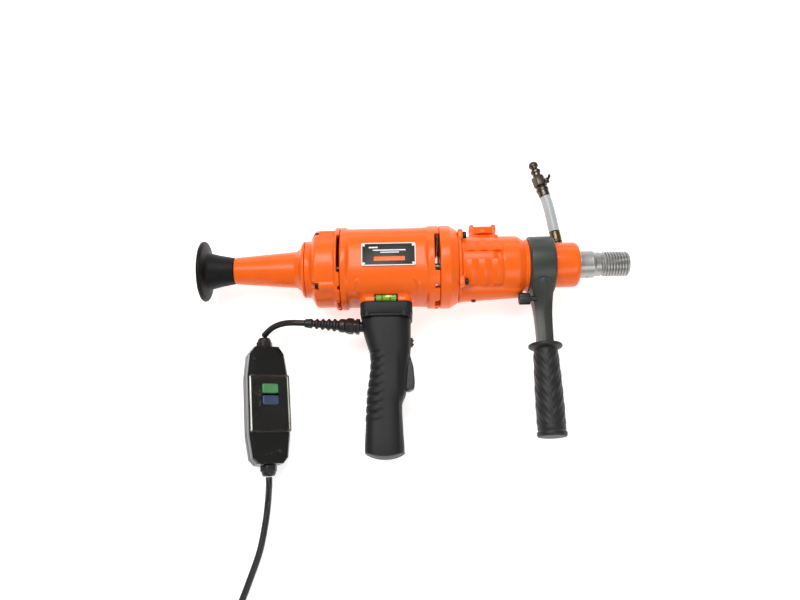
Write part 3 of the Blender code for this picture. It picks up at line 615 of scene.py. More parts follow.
def smooth_line(route, spacing):
    """Evenly spaced points on a smooth curve through all the route points."""
    points = [Vector(point) for point in route]
    ends = [points[0] * 2 - points[1]] + points + [points[-1] * 2 - points[-2]]
    fine = []
    for i in range(1, len(ends) - 2):
        a, b, c, d = ends[i - 1:i + 3]
        for step in range(24):
            t = step / 24
            fine.append(0.5 * (b * 2 + (c - a) * t + (a * 2 - b * 5 + c * 4 - d) * t ** 2
                               + (b * 3 - a - c * 3 + d) * t ** 3))
    fine.append(points[-1])
    length = sum((b - a).length for a, b in zip(fine, fine[1:]))
    count = round(length / spacing)
    line = [fine[0]]
    travelled = 0.0
    for a, b in zip(fine, fine[1:]):
        travelled += (b - a).length
        if travelled >= length * len(line) / count and len(line) < count:
            line.append(b)
    return line + [fine[-1]]


def coil_points():
    """Turns side by side and layer on layer; a turn moves over, or up, in its last third."""
    centre = Vector((*COIL_AT, FLOOR + CORD_R))
    columns = [COIL_MEAN_R + 2 * CORD_R * (1 - k) for k in range(COIL_COLUMNS)]
    stops = []
    for layer in range(COIL_LAYERS):
        order = columns if layer % 2 == 0 else columns[::-1]
        stops += [(radius, 2 * CORD_R * layer) for radius in order]
    points = []
    leave = 0.3
    for turn, (radius, height) in enumerate(stops):
        after = stops[min(turn + 1, len(stops) - 1)]
        last = turn == len(stops) - 1
        for step in range(round(COIL_POINTS * leave) if last else COIL_POINTS):
            share = step / COIL_POINTS
            over = ease((share - 5 / 6) * 6)
            up = ease((share - 4 / 6) * 6)
            reach = radius + (after[0] - radius) * over
            lift = height + (after[1] - height) * up
            angle = pi + 2 * pi * share
            points.append(centre + Vector((reach * cos(angle), reach * sin(angle), lift)))
    return points


def ease(t):
    t = max(0.0, min(1.0, t))
    return t * t * (3 - 2 * t)


def cord_piece(name, points, *nodes):
    curve = bpy.data.curves.new(name, "CURVE")
    curve.dimensions = "3D"
    curve.bevel_depth = CORD_R * MM
    curve.bevel_resolution = 5
    curve.resolution_u = 4
    curve.use_fill_caps = True
    spline = curve.splines.new("BEZIER")
    spline.bezier_points.add(len(points) - 1)
    for knot, point in zip(spline.bezier_points, points):
        knot.co = TOOL @ Vector(point)
        knot.handle_left_type = "AUTO"
        knot.handle_right_type = "AUTO"
    curve.materials.append(LOOKS["cord_skin"][0])
    obj = bpy.data.objects.new(name, curve)
    bpy.context.scene.collection.objects.link(obj)
    return attach(obj, "machine", nodes)


def tool_lead_route():
    boot = GLAND @ Vector((-70.3, 0, 0))
    top = PRCD @ Vector((0, PRCD_LENGTH / 2 + 17.3, PRCD_GLAND_Z))
    return [boot, *[Vector(point) for point in TOOL_LEAD_BEND], top]


def mains_lead_route():
    floor = FLOOR + CORD_R + 0.05
    bottom = PRCD @ Vector((0, -PRCD_LENGTH / 2 - 14.8, PRCD_GLAND_Z))
    below = PRCD @ Vector((0, -PRCD_LENGTH / 2 - 22, PRCD_GLAND_Z))
    entry = COIL_AT[0] - COIL_MEAN_R - 2 * CORD_R
    return [bottom, below, Vector((-165.5, -284, floor + 2.5)), Vector((-168, -308, floor + 0.4)),
            Vector((-174, -342, floor)), Vector((-186, -378, floor)), Vector((-197, -410, floor)),
            Vector((entry, COIL_AT[1] + 38, floor))]


def plug_tail_route(start):
    """From the last turn on top of the coil down to the surface and up into the plug."""
    floor = FLOOR + CORD_R
    entry = Vector((PLUG_AT[0], PLUG_AT[1] - 46.2, FLOOR + PLUG_R))
    return [start, start + Vector((30, 3, -4)), Vector((-84, -522, floor + 10)),
            Vector((-64, -503, floor + 7)), entry + Vector((0, -8, -1)), entry]


def build_cords(plug_pieces, boot, glands):
    route = tool_lead_route()
    lead = cord_piece("tool_lead_fine", smooth_line(route, 7), "tool_lead")
    route = mains_lead_route()
    turns = coil_points()
    points = smooth_line(route, 8) + turns + smooth_line(plug_tail_route(turns[-1]), 9)[1:]
    mains = cord_piece("mains_cord", points, "mains_lead", "mains_coil")


def build_plug():
    plug = lathe([(-46, 4.3), (-46, 5.8), (-30, 7.4), (-28, 12), (-20, 15), (-12, PLUG_R), (6, PLUG_R),
                  (8, PLUG_R - 2), (8, 0), (-40, 0), (-40, 4.3)], "Y", 64, soft=1.2)
    for step in range(10):
        angle = radians(36 * step)
        groove = block((-0.9, -16, PLUG_R - 1.2), (0.9, 4, PLUG_R + 4), 0.5)
        cut(plug, moved(groove, Matrix.Rotation(angle, 4, "Y")))
    place = (*PLUG_AT, FLOOR + PLUG_R)
    body = stand_in(shifted(plug, place), "plug", "moulding")
    pins = [lathe([(7, 0), (7, 2.4), (25, 2.4), (26.6, 1.4), (26.6, 0)], "Y", 24, (x, 0, 0), 0.4)
            for x in (-9.5, 9.5)]
    return [body, emit(shifted(joined(*pins), place), "plug_pins", "bright_steel")]


# ---- motor end ----

def four_corners(pitch):
    return [(pitch, pitch), (-pitch, pitch), (-pitch, -pitch), (pitch, -pitch)]


def rest_flat(obj):
    return cut(obj, block((-140, -60, -70), (140, 60, -REST_DROP), 0.1))


def vent_slots(obj, start, end, bottom):
    """A long and two short slots, alike on the upper and lower side, between start and end."""
    for angle, half in VENTS:
        for turned in (angle, 180 - angle):
            cut(obj, about_x(block((start, -half, bottom), (end, half, 60), 0.4), turned))
    return obj


def build_breast_pad():
    pad = lathe([(-251.2, 0), (-251.2, 12), (-252, 13), (-252, 33), (-251, 37.2), (-249.4, 38.5),
                 (-246.8, 38.5), (-245, 36.5), (-243, 25), (-240, 23.3), (-228, 20.2), (-209.3, 16.8),
                 (-209.3, 9), (-192, 9), (-192, 0)], soft=1.4)
    stand_in(pad, "breast_pad", "pad_rubber")


def build_rear_cone():
    cone = lathe([(-209, 9.6), (-209, 16.8), (-206.5, 17.2), (-131, 23.3), (-125, 27.5), (-122.2, 34.5),
                  (-120.8, 36.2), (-118.4, 36.2), (-118.4, 27), (-133, 18.5), (-180, 14), (-184, 9.6)],
                 soft=1.6)
    stand_in(cone, "rear_cone", "paint")


def build_rear_housing():
    shell = lathe([(-118, 13.4), (-118, 36.2), (-111.5, 36.2), (-105.5, 48), (-103.5, 49.3), (-81, 49.3),
                   (-79, FLANGE_R), (-74.6, FLANGE_R), (-73.6, 52), (-73.6, 44), (-103, 44), (-108.5, 32),
                   (-108.5, 18), (-92, 18), (-92, 13.4)], soft=0.9)
    vent_slots(shell, -77, -73, 33)
    rest_flat(shell)
    end_wall = lathe([(-118, 0), (-118, 15), (-106, 15), (-106, 0)], segments=72, soft=0)
    bosses = [lathe([(-99.4, 0), (-99.4, 5.4), (-97.8, 6.4), (-76, 6.4), (-76, 0)], "X", 24, (0, y, z), 0.4)
              for y, z in four_corners(REAR_SCREWS)]
    hump = about_x(block((-102, -7, 45), (-88, 7, 50.8), 1.6, axis="X"), -90)
    casting = cast(shell, end_wall, *bosses, hump)
    for y, z in four_corners(REAR_SCREWS):
        cut(casting, cylinder(5.2, -113, -99.3, "X", 32, (0, y, z)),
            cylinder(2.9, -112, -70, "X", 16, (0, y, z)))
    stand_in(casting, "rear_housing", "paint")


def squarish(x, radius, count=96):
    loop = []
    for step in range(count):
        angle = 2 * pi * step / count
        c, s = cos(angle), sin(angle)
        reach = radius / (abs(c) ** SQUARENESS + abs(s) ** SQUARENESS) ** (1 / SQUARENESS)
        loop.append((x, reach * c, reach * s))
    return loop


def ring_loop(x, radius, count=96):
    return [(x, radius * cos(2 * pi * k / count), radius * sin(2 * pi * k / count))
            for k in range(count)]


def barrel_height(y):
    """Height of the barrel's flat-looking side above the axis at y."""
    share = max(0.0, 1 - (abs(y) / BARREL_R) ** SQUARENESS)
    return BARREL_R * share ** (1 / SQUARENESS)


def build_motor_housing():
    barrel = loft([squarish(-66, BARREL_R), squarish(20, BARREL_R), squarish(36, 48.6),
                   ring_loop(36, BARREL_BORE_R), ring_loop(-66, BARREL_BORE_R)], closed=True)
    rear = lathe([(-73.2, BARREL_BORE_R), (-73.2, 52), (-72.2, FLANGE_R), (-66, FLANGE_R), (-63, 49),
                  (-63, BARREL_BORE_R)], soft=0.7)
    front = lathe([(33, BARREL_BORE_R), (33, 49), (35.6, FLANGE_R), (48.6, FLANGE_R), (50, 51.8),
                   (50, BARREL_BORE_R)], soft=0.7)
    vent_slots(front, 43.6, 51, 33)
    rest_flat(rear)
    rest_flat(front)
    wide = rounded_rectangle(33, 33.5, 9, 6, (NECK_X, 0))
    slim = rounded_rectangle(32, 26, 9, 6, (NECK_X, 0))
    neck = loft([[(x, y, z) for x, z in section]
                 for y, section in ((-37, wide), (-46, slim), (-51.7, slim), (-52.3, inset(slim, 0.6)))])
    cut(neck, block((-34, -60, -14), (2, -30, 14), 1), cylinder(BARREL_BORE_R, -80, 60, "X", 72))
    spine = block((-62, 40, -10), (32, 51.4, 10), 1.6, 3)
    ramp = block((-68, 40, -13), (-56, 49.6, 13), 2.4)
    for part in (spine, ramp):
        cut(part, cylinder(BARREL_BORE_R, -80, 60, "X", 72))
    ribs = []
    routes = (((17, -27), (21, -32), (23.4, -37), (22, -41.5)),
              ((-50, -28), (-54, -33), (-54, -38), (-50, -43)))
    for sign in (1, -1):
        for route in routes:
            line = [Vector((x, y, sign * (barrel_height(y) - 0.2))) for x, y in route]
            ribs.append(sweep(smooth_line(line, 2.0), 1.7))
    casting = cast(barrel, rear, front, neck, spine, ramp, *ribs)
    cut(casting, block((-31.5, -54, 22.4), (-2.5, -43.5, 31), 0.8))
    stand_in(casting, "motor_housing", "paint")


def build_nameplate():
    base = BARREL_R + 0.15
    plate = prism(rounded_rectangle(33, 14.6, 2.2, 6, (-13, 0.4)), base - 0.8, base + 0.9, "Z", 0.3)
    stand_in(plate, "nameplate", "plate_black")
    rim = prism(rounded_rectangle(33.2, 14.8, 2.4, 6, (-13, 0.4)), base, base + 1.15, "Z", 0.2)
    cut(rim, prism(rounded_rectangle(32, 13.6, 1.8, 6, (-13, 0.4)), base - 2, base + 3, "Z", 0.1))
    print_bars = [rim]
    for y, left, right, thick in ((9.2, -37, -26, 0.9), (5.6, -32, 8, 0.8), (2.8, -23, 0, 0.7)):
        print_bars.append(block((left, y - thick, base + 0.5), (right, y + thick, base + 1.05), 0.15))
    bar = block((-31, -8.2, base + 0.5), (7, -2.6, base + 1.05), 0.15)
    emit(bar, "nameplate_bar", "paint")
    for x in (-43.2, 17.2):
        for y in (-11.4, 12.2):
            print_bars.append(lathe([(base, 0), (base, 1.9), (base + 1.0, 1.7), (base + 1.5, 0.9),
                                     (base + 1.6, 0)], "Z", 20, (x, y, 0), 0.2))
    emit(joined(*print_bars), "nameplate_print", "plate_print")


def build_level_vial():
    centre = (0, -48.4, 26.3)
    tube = lathe([(-30.4, 0), (-30.4, 3.7), (-3.6, 3.7), (-3.6, 0)], "X", 40, centre, 0.8)
    stand_in(tube, "level_vial", "vial_glass")
    bubble = lathe([(-19, 0), (-18, 1.6), (-16, 2.1), (-12, 2.1), (-10, 1.6), (-9, 0)], "X", 28,
                   (0, -47.6, 28.2), 0.8)
    emit(bubble, "level_vial_bubble", "vial_bubble")
    rings = [lathe([(x, 3.6), (x, 4.05), (x + 1.0, 4.05), (x + 1.0, 3.6)], "X", 40, centre, 0.2)
             for x in (-22.5, -12.5)]
    ends = [lathe([(x, 0), (x, 4.1), (x + 2, 4.1), (x + 2, 0)], "X", 40, centre, 0.4)
            for x in (-31.2, -4.8)]
    emit(joined(*rings, *ends), "level_vial_rings", "moulding")


def socket_screw(head_start, head_end, shank_end, head_r, side, up):
    inward = 1 if head_end > head_start else -1
    screw = lathe([(head_start, 0), (head_start, head_r), (head_end, head_r), (head_end, 2.1),
                   (shank_end, 2.1), (shank_end, 0)], "X", 32, (0, side, up), 0.5)
    socket = [(side + 1.9 * cos(radians(60 * k)), up + 1.9 * sin(radians(60 * k))) for k in range(6)]
    return cut(screw, prism(socket, head_start - inward, head_start + 2.4 * inward, "X", 0.05))


def build_screws():
    for name, pitch, sizes in (("rear_screw", REAR_SCREWS, (-103.8, -99.6, -67, 4.1)),
                               ("front_bolt", FRONT_BOLTS, (84.4, 80.4, 59, 4.3))):
        for index, (side, up) in enumerate(four_corners(pitch)):
            stand_in(socket_screw(*sizes, side, up), f"{name}_{index + 1}", "oxide_steel")


# ---- gearbox ----

def build_gearbox_cover():
    cover = lathe([(50.3, 13.4), (50.3, 51.8), (51.6, FLANGE_R), (62.8, FLANGE_R), (64.3, 52), (66, 50.8),
                   (73, 47), (73, 41), (66, 41), (66, 13.4)], segments=120, soft=0.9)
    rest_flat(cover)
    cut(cover, cylinder(5.6, 48, 70, "X", 24, (0, COUNTERSHAFT_Y, 0)))
    for side, up in four_corners(FRONT_BOLTS):
        cut(cover, cylinder(2.8, 48, 76, "X", 16, (0, side, up)))
    stand_in(cover, "gearbox_cover", "paint")


LOUVRE_PITCH = 16.0
LOUVRE_START = 81.0
LOUVRE_GAP = 1.2


def louvres(start_angle, end_angle):
    """Roof-shaped bands round part of the gearbox, with a narrow gap between each two."""
    bands = []
    for band in range(3):
        low = LOUVRE_START + band * LOUVRE_PITCH + LOUVRE_GAP / 2
        high = low + LOUVRE_PITCH - LOUVRE_GAP
        profile = [(low, 36), (low, 39.0), ((low + high) / 2, 41.2), (high, 39.0), (high, 36)]
        bands.append(lathe(profile, "X", 24, (0, 0, 0), 0.3, None, (start_angle, end_angle)))
    return bands


def build_gearbox_housing():
    shell = lathe([(73.3, 34), (73.3, 44), (77, 44), (78.5, 38.4), (117, 38.4), (122, 36), (125, 36),
                   (130, 38.4), (149, 38), (158.4, 32), (159.6, 32), (160, 33.6), (162.4, 33.6),
                   (162.6, 32), (196, 32), (196, 26.4), (175, 26.4), (175, 24.3), (108.7, 24.3),
                   (108.7, 15.8), (103, 15.8), (103, 34)], soft=0.6)
    belly = lathe([(74, 0), (74, 22.8), (150, 18.4), (155, 14), (157, 0)], "X", 64, (0, BELLY_Y, 0), 1.5)
    cut(belly, cylinder(33.8, 60, 180, "X", 64))
    tabs = [block((73.3, y - 6.4, z - 6.4), (80, y + 6.4, z + 6.4), 1.4, 2.4, "X")
            for y, z in four_corners(FRONT_BOLTS)]
    bands = []
    for angle, span in ((56, 24), (97, 46), (-80, 24), (217, 46)):
        bands += louvres(angle, angle + span)
    boss = block((89, 30, -14), (127, 38.9, 14), 1.6, 3, "Y")
    cut(boss, cylinder(34.5, 60, 180, "X", 64))
    casting = cast(shell, belly, *tabs, boss, passes=3)
    cut(casting, cylinder(20, 70, 84, "X", 48, (0, COUNTERSHAFT_Y, 0)),
        cylinder(5.4, 20, 45, "Y", 32, (SELECTOR_X, 0, 0)))
    for side, up in four_corners(FRONT_BOLTS):
        cut(casting, cylinder(2.9, 70, 90, "X", 16, (0, side, up)))
    stand_in(joined(casting, *bands), "gearbox_housing", "paint")
    drain = lathe([(-47.6, 0), (-47.6, 2.8), (-44, 3.0), (-44, 0)], "Y", 24, (92.5, 0, 0), 0.6)
    emit(drain, "drain_screw", "oxide_steel")


def build_selector():
    knob = lathe([(32, 0), (32, 4.9), (39.4, 4.9), (39.4, 17.3), (44, 17.0), (47.6, 16.6), (48.8, 15.4),
                  (48.8, 0)], "Y", 72, soft=0.7)
    ears = []
    for sign in (1, -1):
        ear = [(sign * 9.0, 44), (sign * 17.2, 44), (sign * 17.4, 53), (sign * 15.8, 56), (sign * 11.6, 56)]
        outline = soften(ear if sign > 0 else ear[::-1], 1.6, 4, keep_axis=False)
        ears.append(prism([(x, y) for x, y in outline], -5.8, 5.8, "Z", 1.2))
    face = block((-13, 43, -13), (13, 50.4, 13), 1.4, 4, "Y")
    knob = cast(knob, *ears, face, voxel=max(0.5, CAST_VOXEL * 0.6), passes=3)
    emit(shifted(knob, (SELECTOR_X, 0, 0)), "speed_selector_fine", "paint", "speed_selector_knob",
         body="selector")


def build_water_collar():
    collar = lathe([(196.4, 15.7), (196.4, 28.2), (197.1, 28.7), (222, 28.7), (226, 27.0), (227.5, 23.5),
                    (227.5, 15.7), (219, 15.7), (219, 20), (203, 20), (203, 15.7)], soft=1.2)
    cut(collar, tilted(cylinder(5.2, -9, 8, "Y", 32), NIPPLE_AT, NIPPLE_TILT))
    stand_in(collar, "water_collar", "paint")


THREAD_START = 257.0
THREAD_PITCH = 3.6286
THREAD_R = 15.875
THREAD_DEPTH = 1.8


def thread_relief(along, angle):
    """Helical thread, fading in after its relief groove and out at the spindle's end."""
    if along < THREAD_START:
        return 0.0
    phase = ((along - THREAD_START) / THREAD_PITCH - angle / (2 * pi)) % 1.0
    tooth = max(0.0, min(1.0, 2.6 * (1 - abs(2 * phase - 1)) - 0.5))
    fade = min(1.0, (along - THREAD_START) / 3, max(0.0, (SPINDLE_END - 0.6 - along) / 2))
    return -THREAD_DEPTH * (1 - tooth * fade)


def build_spindle():
    profile = soften([(87, 0), (87, 10), (107, 10), (107, 15), (228, 15), (228, 17.3), (246.5, 17.3),
                      (248.6, 15.4), (255.5, 15.4), (256.4, 14.2), (256.9, 14.2)], 0.4)[:-4]
    steps = int((SPINDLE_END - THREAD_START) / THREAD_PITCH * 12)
    for step in range(steps + 1):
        profile.append((THREAD_START + (SPINDLE_END - 0.5 - THREAD_START) * step / steps, THREAD_R))
    profile += [(SPINDLE_END, 13.2), (SPINDLE_END, 9.6), (SPINDLE_END - 0.8, 9), (203, 9), (200, 0)]
    spindle = lathe(profile, "X", 96, soft=0, relief=lambda along, angle: (
        thread_relief(along, angle) if along < SPINDLE_END - 0.4 else 0.0))
    for angle in (0, 180):
        cut(spindle, about_x(block((230.5, -20, 15.7), (245.5, 20, 21), 0.6), angle))
    stand_in(spindle, "spindle", "bright_steel", body="spindle", sharp=30)
    pins = [sphere(1.7, (238.6, sign * 16.6, 0), 20) for sign in (1, -1)]
    emit(joined(*pins), "spindle_key_pins", "bright_steel", body="spindle")


# ---- side handle ----

def ridge_section(y, half, shoulder, ridge):
    """Stem section with a ridge along its middle, above and below."""
    outline = [(half, shoulder), (0, ridge), (-half, shoulder), (-half, -shoulder), (0, -ridge),
               (half, -shoulder)]
    fine = soften(outline, 0.6, 2, keep_axis=False)
    return [(HANDLE_X + x, y, z) for x, z in fine]


def build_handle_clamp():
    ring = lathe([(163, 32.4), (163, 34.9), (165.2, 36.9), (193.4, 36.9), (195, 35.6), (195, 32.4)],
                 soft=0.5)
    rows = ((-26, 13.6, 23, 29), (-36, 13.4, 17, 27), (-44, 12.4, 13, 22.5), (-54, 11.4, 10, 16),
            (-66, 10.4, 8.6, 10.6), (-84, 9.8, 8.2, 9.6), (-104, 9.6, 8.2, 9.4))
    stem = loft([ridge_section(*row) for row in rows])
    cut(stem, cylinder(33.2, 140, 220, "X", 96), cylinder(3.9, 160, 175, "X", 24, CLAMP_KNOB_AT))
    rod = cylinder(8.8, -212, -101, "Y", 40, (HANDLE_X, 0, 0), 0.6)
    stand_in(joined(ring, stem, rod), "handle_clamp", "casting", body="side_handle", sharp=28)


CHEVRON_END, CHEVRON_START = -206, -113
CHEVRON_PITCH = 20.0


def chevrons(along, angle):
    """Raised arrow ridges on both faces of the sleeve, one every CHEVRON_PITCH, with a thin one between."""
    if not CHEVRON_END < along < CHEVRON_START:
        return 0.0
    turned = (degrees(angle) + 90) % 180 - 90
    slope = along - 0.42 * abs(turned)
    phase = ((slope + 125.0) / CHEVRON_PITCH) % 1.0
    ridge = exp(-((phase - 0.5) / 0.14) ** 2)
    thin = 0.45 * exp(-((((phase + 0.5) % 1.0) - 0.5) / 0.07) ** 2)
    ends = min(1.0, (along - CHEVRON_END) / 4, (CHEVRON_START - along) / 4)
    return 0.75 * (ridge + thin) * ends - 0.25


def build_handle_grip():
    rows = [(-104.4, 9.3), (-104.4, 19.8), (-105.6, 21), (-108, 21), (-109.2, 19.6), (-111, 14.6)]
    for step in range(78):
        y = -112 - step * 1.26
        rows.append((y, 15.0 + 2.2 * sin(pi * 0.55 * min(1, (-112 - y) / 92))))
    rows += [(-211, 16.6), (-213, 18.2), (-216.4, 18.2), (-218, 17.2), (-218.4, 15), (-218.4, 0),
             (-213, 0), (-213, 9.3)]
    grip = lathe(rows, "Y", 96, (0, 0, 0), 0.35, chevrons)
    stand_in(shifted(grip, (HANDLE_X, 0, 0)), "handle_grip", "sleeve_rubber", body="side_handle")


def build_clamp_knob():
    star = []
    for step in range(60):
        angle = 2 * pi * step / 60
        radius = 7.2 + 0.6 * cos(6 * angle)
        star.append((radius * cos(angle), radius * sin(angle)))
    knob = prism(star, 148, 162, "X", 1.0)
    shank = cylinder(3.4, 158, 174, "X", 24, (0, 0, 0), 0.3)
    cut(knob, cylinder(3.2, 146, 149.2, "X", 32))
    stand_in(shifted(joined(knob, shank), CLAMP_KNOB_AT), "clamp_knob", "moulding", body="clamp_screw")


# ---- water line ----

def tube_along(points, outer, inner, sides=32):
    rings_out, rings_in = [], []
    for index, point in enumerate(points):
        along = (points[min(index + 1, len(points) - 1)] - points[max(index - 1, 0)]).normalized()
        side = along.cross(Vector((0, 0, 1))).normalized()
        up = side.cross(along)
        rings_out.append(circle(point, side, up, outer, sides))
        rings_in.append(circle(point, side, up, inner, sides))
    return loft(rings_out + rings_in[::-1], closed=True)


def build_hose():
    start = leaning_point(NIPPLE_AT, NIPPLE_TILT, 22)
    end = leaning_point(VALVE_AT, VALVE_TILT, -0.4)
    first, last = (Vector((-sin(radians(tilt)), cos(radians(tilt)), 0))
                   for tilt in (NIPPLE_TILT, VALVE_TILT))
    reach = (end - start).length
    points = [hermite(start, end, first * reach, last * reach, step / 24) for step in range(25)]
    stand_in(tube_along(points, HOSE_R, HOSE_BORE_R), "water_hose", "clear_hose")


def build_water_fittings():
    nipple = lathe([(-2.5, 2.6), (-2.5, 4.8), (6.4, 4.8), (6.4, 7), (8, 7.2), (8.4, 6.6), (9.4, 6.6),
                    (9.8, 7), (20.4, 7), (21.4, 6.3), (21.6, 3.6), (31, 3.4), (31, 2.6)], "Y", 48, soft=0.4)
    stand_in(tilted(nipple, NIPPLE_AT, NIPPLE_TILT), "water_nipple", "brass")
    ferrule = lathe([(0, 3.2), (0, 7.2), (2, 7.5), (8, 7.5), (9, 8.4), (11.6, 8.4), (12.2, 7.4), (14, 7.2),
                     (16, 6.6), (16, 3.2)], "Y", 48, soft=0.5)
    flats = hex_nut(16.4, 0.8, 15.6, 29.4, "Y", 0.8)
    cut(flats, cylinder(3.2, 10, 35, "Y", 24), cylinder(3.3, 5.6, 13, "X", 24, (0, 22, 0)))
    stem = lathe([(29, 3.2), (29, 6), (31, 5.6), (31, 3.2)], "Y", 40, soft=0.3)
    stand_in(tilted(joined(ferrule, flats, stem), VALVE_AT, VALVE_TILT), "valve_body", "plated", sharp=30)
    coupler = lathe([(31.4, 3), (31.4, 5.4), (35, 5.4), (36, 6.6), (39, 6.8), (40.5, 5.2), (42.5, 3.9),
                     (43.4, 4.6), (45, 6.0), (47.2, 6.5), (49.6, 6.0), (51.4, 4.6), (52.4, 3)], "Y", 48,
                    soft=0.5)
    stand_in(tilted(coupler, VALVE_AT, VALVE_TILT), "inlet_coupler", "plated")
    hub = lathe([(6.6, 0), (6.6, 3), (10, 3), (10, 4.1), (12.6, 4.1), (12.6, 0)], "X", 32, (0, 22, 0), 0.4)
    arm = prism(soften([(19.4, -3), (24.6, -3), (24, 8), (24.4, 14), (22, 16), (19.6, 14), (20, 8)], 1.6, 3,
                       False), 10.4, 12.4, "X", 0.5)
    stand_in(tilted(joined(hub, arm), VALVE_AT, VALVE_TILT), "valve_lever", "plated", body="valve_lever")


# ---- pistol grip ----

GRIP_ROWS = (
    # y, rear x, front x, half thickness
    (-71.0, -47.8, 13.0, 23.0),
    (-88.0, -45.6, 12.6, 22.5),
    (-104.0, -41.0, 12.6, 21.5),
    (-112.0, -38.4, 12.0, 21.0),
    (-119.0, -37.1, 11.2, 20.5),
    (-132.5, -37.4, 9.4, 20.0),
    (-150.0, -39.6, 7.6, 20.0),
    (-163.0, -41.4, 6.0, 20.0),
    (-176.0, -42.3, 1.4, 20.0),
    (-210.0, -44.2, 2.1, 20.8),
    (-226.0, -45.0, 3.0, 21.3),
    (-233.5, -45.0, 3.0, 21.1),
)
GRIP_TOP = -71.0
GRIP_FOOT = -233.5
GRIP_POWER = 0.62
RIB_FIRST = -113.2
RIB_PITCH = 10.6
RIB_COUNT = 8


def grip_row(y):
    rows = GRIP_ROWS
    for index in range(len(rows) - 1):
        a, b = rows[index], rows[index + 1]
        if y >= b[0] - 1e-6:
            t = (a[0] - y) / (a[0] - b[0])
            before = rows[max(0, index - 1)]
            after = rows[min(len(rows) - 1, index + 2)]
            return [hermite(a[k], b[k], 0.5 * (b[k] - before[k]), 0.5 * (after[k] - a[k]), t)
                    for k in (1, 2, 3)]
    return rows[-1][1:]


def grip_relief(x, y):
    """Cushioned finger bands on the rear edge and the step to the narrower front band."""
    lift = 0.0
    if RIB_FIRST - RIB_COUNT * RIB_PITCH < y < RIB_FIRST:
        phase = ((RIB_FIRST - y) / RIB_PITCH) % 1.0
        reach = -20.0 - 4.5 * abs(2 * phase - 1) - 0.05 * (RIB_FIRST - y)
        zone = ease((reach - x) / 2.2)
        lift += zone * (1.9 * (1 - abs(2 * phase - 1) ** 4) - 1.1)
    if y < -112:
        lift -= 0.9 * ease((x + 4.2) / 3.0) * ease((-112 - y) / 12)
    return lift


def grip_loop(y, sign, depth, seam, squeeze=1.0, steps=44):
    rear, front, half = grip_row(max(y, GRIP_FOOT))
    middle = (rear + front) / 2
    reach = (front - rear) / 2 - depth
    thick = half - depth
    loop = []
    for step in range(steps + 1):
        angle = pi * step / steps
        c, s = cos(angle), max(0.0, sin(angle))
        x = middle + squeeze * reach * copysign(abs(c) ** GRIP_POWER, c)
        z = squeeze * thick * s ** GRIP_POWER
        along = Vector((copysign(abs(c) ** (2 - GRIP_POWER), c) / reach, s ** (2 - GRIP_POWER) / thick))
        lift = grip_relief(x, y) if depth == 0 and squeeze == 1.0 else 0.0
        along = along.normalized() * lift
        loop.append([x + along.x, y, sign * max(seam, z + along.y)])
    return loop


def build_grip_shell(name, sign):
    sections = []
    count = 130
    for step in range(count + 1):
        sections.append(grip_loop(GRIP_TOP + (GRIP_FOOT - GRIP_TOP) * step / count, sign, 0.0, 0.15))
    sections.insert(0, [[x * 0.985 - 0.25, -70.7, z * 0.97 + sign * 0.004] for x, _, z in sections[0]])
    sections[0] = [[x, y, sign * max(0.15, abs(z))] for x, y, z in sections[0]]
    rear, front, _ = grip_row(GRIP_FOOT)
    middle, reach = (rear + front) / 2, (front - rear) / 2
    for squeeze in (0.985, 0.95, 0.85, 0.65, 0.4, 0.15):
        foot = grip_loop(GRIP_FOOT, sign, 0.0, 0.15, squeeze)
        sink = 1.6 * (1 - squeeze) ** 0.5
        for point in foot:
            point[1] -= sink
        sections.append(foot)
    for section in sections[-12:]:
        for point in section:
            share = max(0.0, 1 - ((point[0] - middle) / reach) ** 2)
            point[1] -= 5.4 * share * ease((-222 - point[1]) / 11)
    shell = loft(sections)
    hollow = [grip_loop(y, sign, 3.4, 0.0, steps=16)
              for y in (-74, -88, -104, -119, -132, -150, -163, -176, -210, -226)]
    hollow.insert(0, [[x, -66, z] for x, _, z in hollow[0]])
    for loop in hollow:
        loop[0][2] = loop[-1][2] = -sign
    cut(shell, loft(hollow), block((-4, -161.5, -8.4), (20, -105.5, 8.4), 0.6),
        block((4, -105, -5.6), (20, -92.6, 5.6), 0.6), moved(cylinder(7.2, -10, 12, "X", 32), GLAND))
    stand_in(shell, name, "grip", sharp=42)


def build_grip_collar():
    outline = rounded_rectangle(32.2, 28, 9, 8, (NECK_X, 0))
    stations = ((-52.7, 0.8), (-53.4, 0.1), (-54, 0), (-66.4, 0), (-67.2, 0.5), (-67.6, 1.6), (-70.4, 2.0))
    collar = loft([[(x, y, z) for x, z in inset(outline, depth)] for y, depth in stations])
    inner = rounded_rectangle(27, 22, 7, 6, (NECK_X, 0))
    cut(collar, loft([[(x, y, z) for x, z in inner] for y in (-50, -73)]))
    clips = []
    for sign in (1, -1):
        for x in (-40.4, 4.3):
            clips.append(block((x - 2.6, -71.4, sign * 26 - 2.2), (x + 2.6, -65.0, sign * 26 + 2.2), 0.9))
    stand_in(joined(collar, *clips), "grip_collar", "grip")


def build_trigger():
    outline = [(-2.5, -112), (3, -106.6), (9, -109.4), (14.8, -130), (16.3, -150), (15.3, -157.6),
               (8, -160.2), (5, -159), (3, -150), (-2.5, -140)]
    fine = soften(outline, 2.4, 6, keep_axis=False)
    stand_in(prism(fine, -7.6, 7.6, "Z", 1.4, 5), "trigger", "moulding", body="trigger")
    button = block((6, -104.3, -5), (15.0, -93.3, 5), 1.4, 2.2, "X")
    dimples = [sphere(1.5, (14.8, y, 0), 20) for y in (-101.4, -96.4)]
    stand_in(joined(button, *dimples), "lock_button", "moulding", body="lock_button")


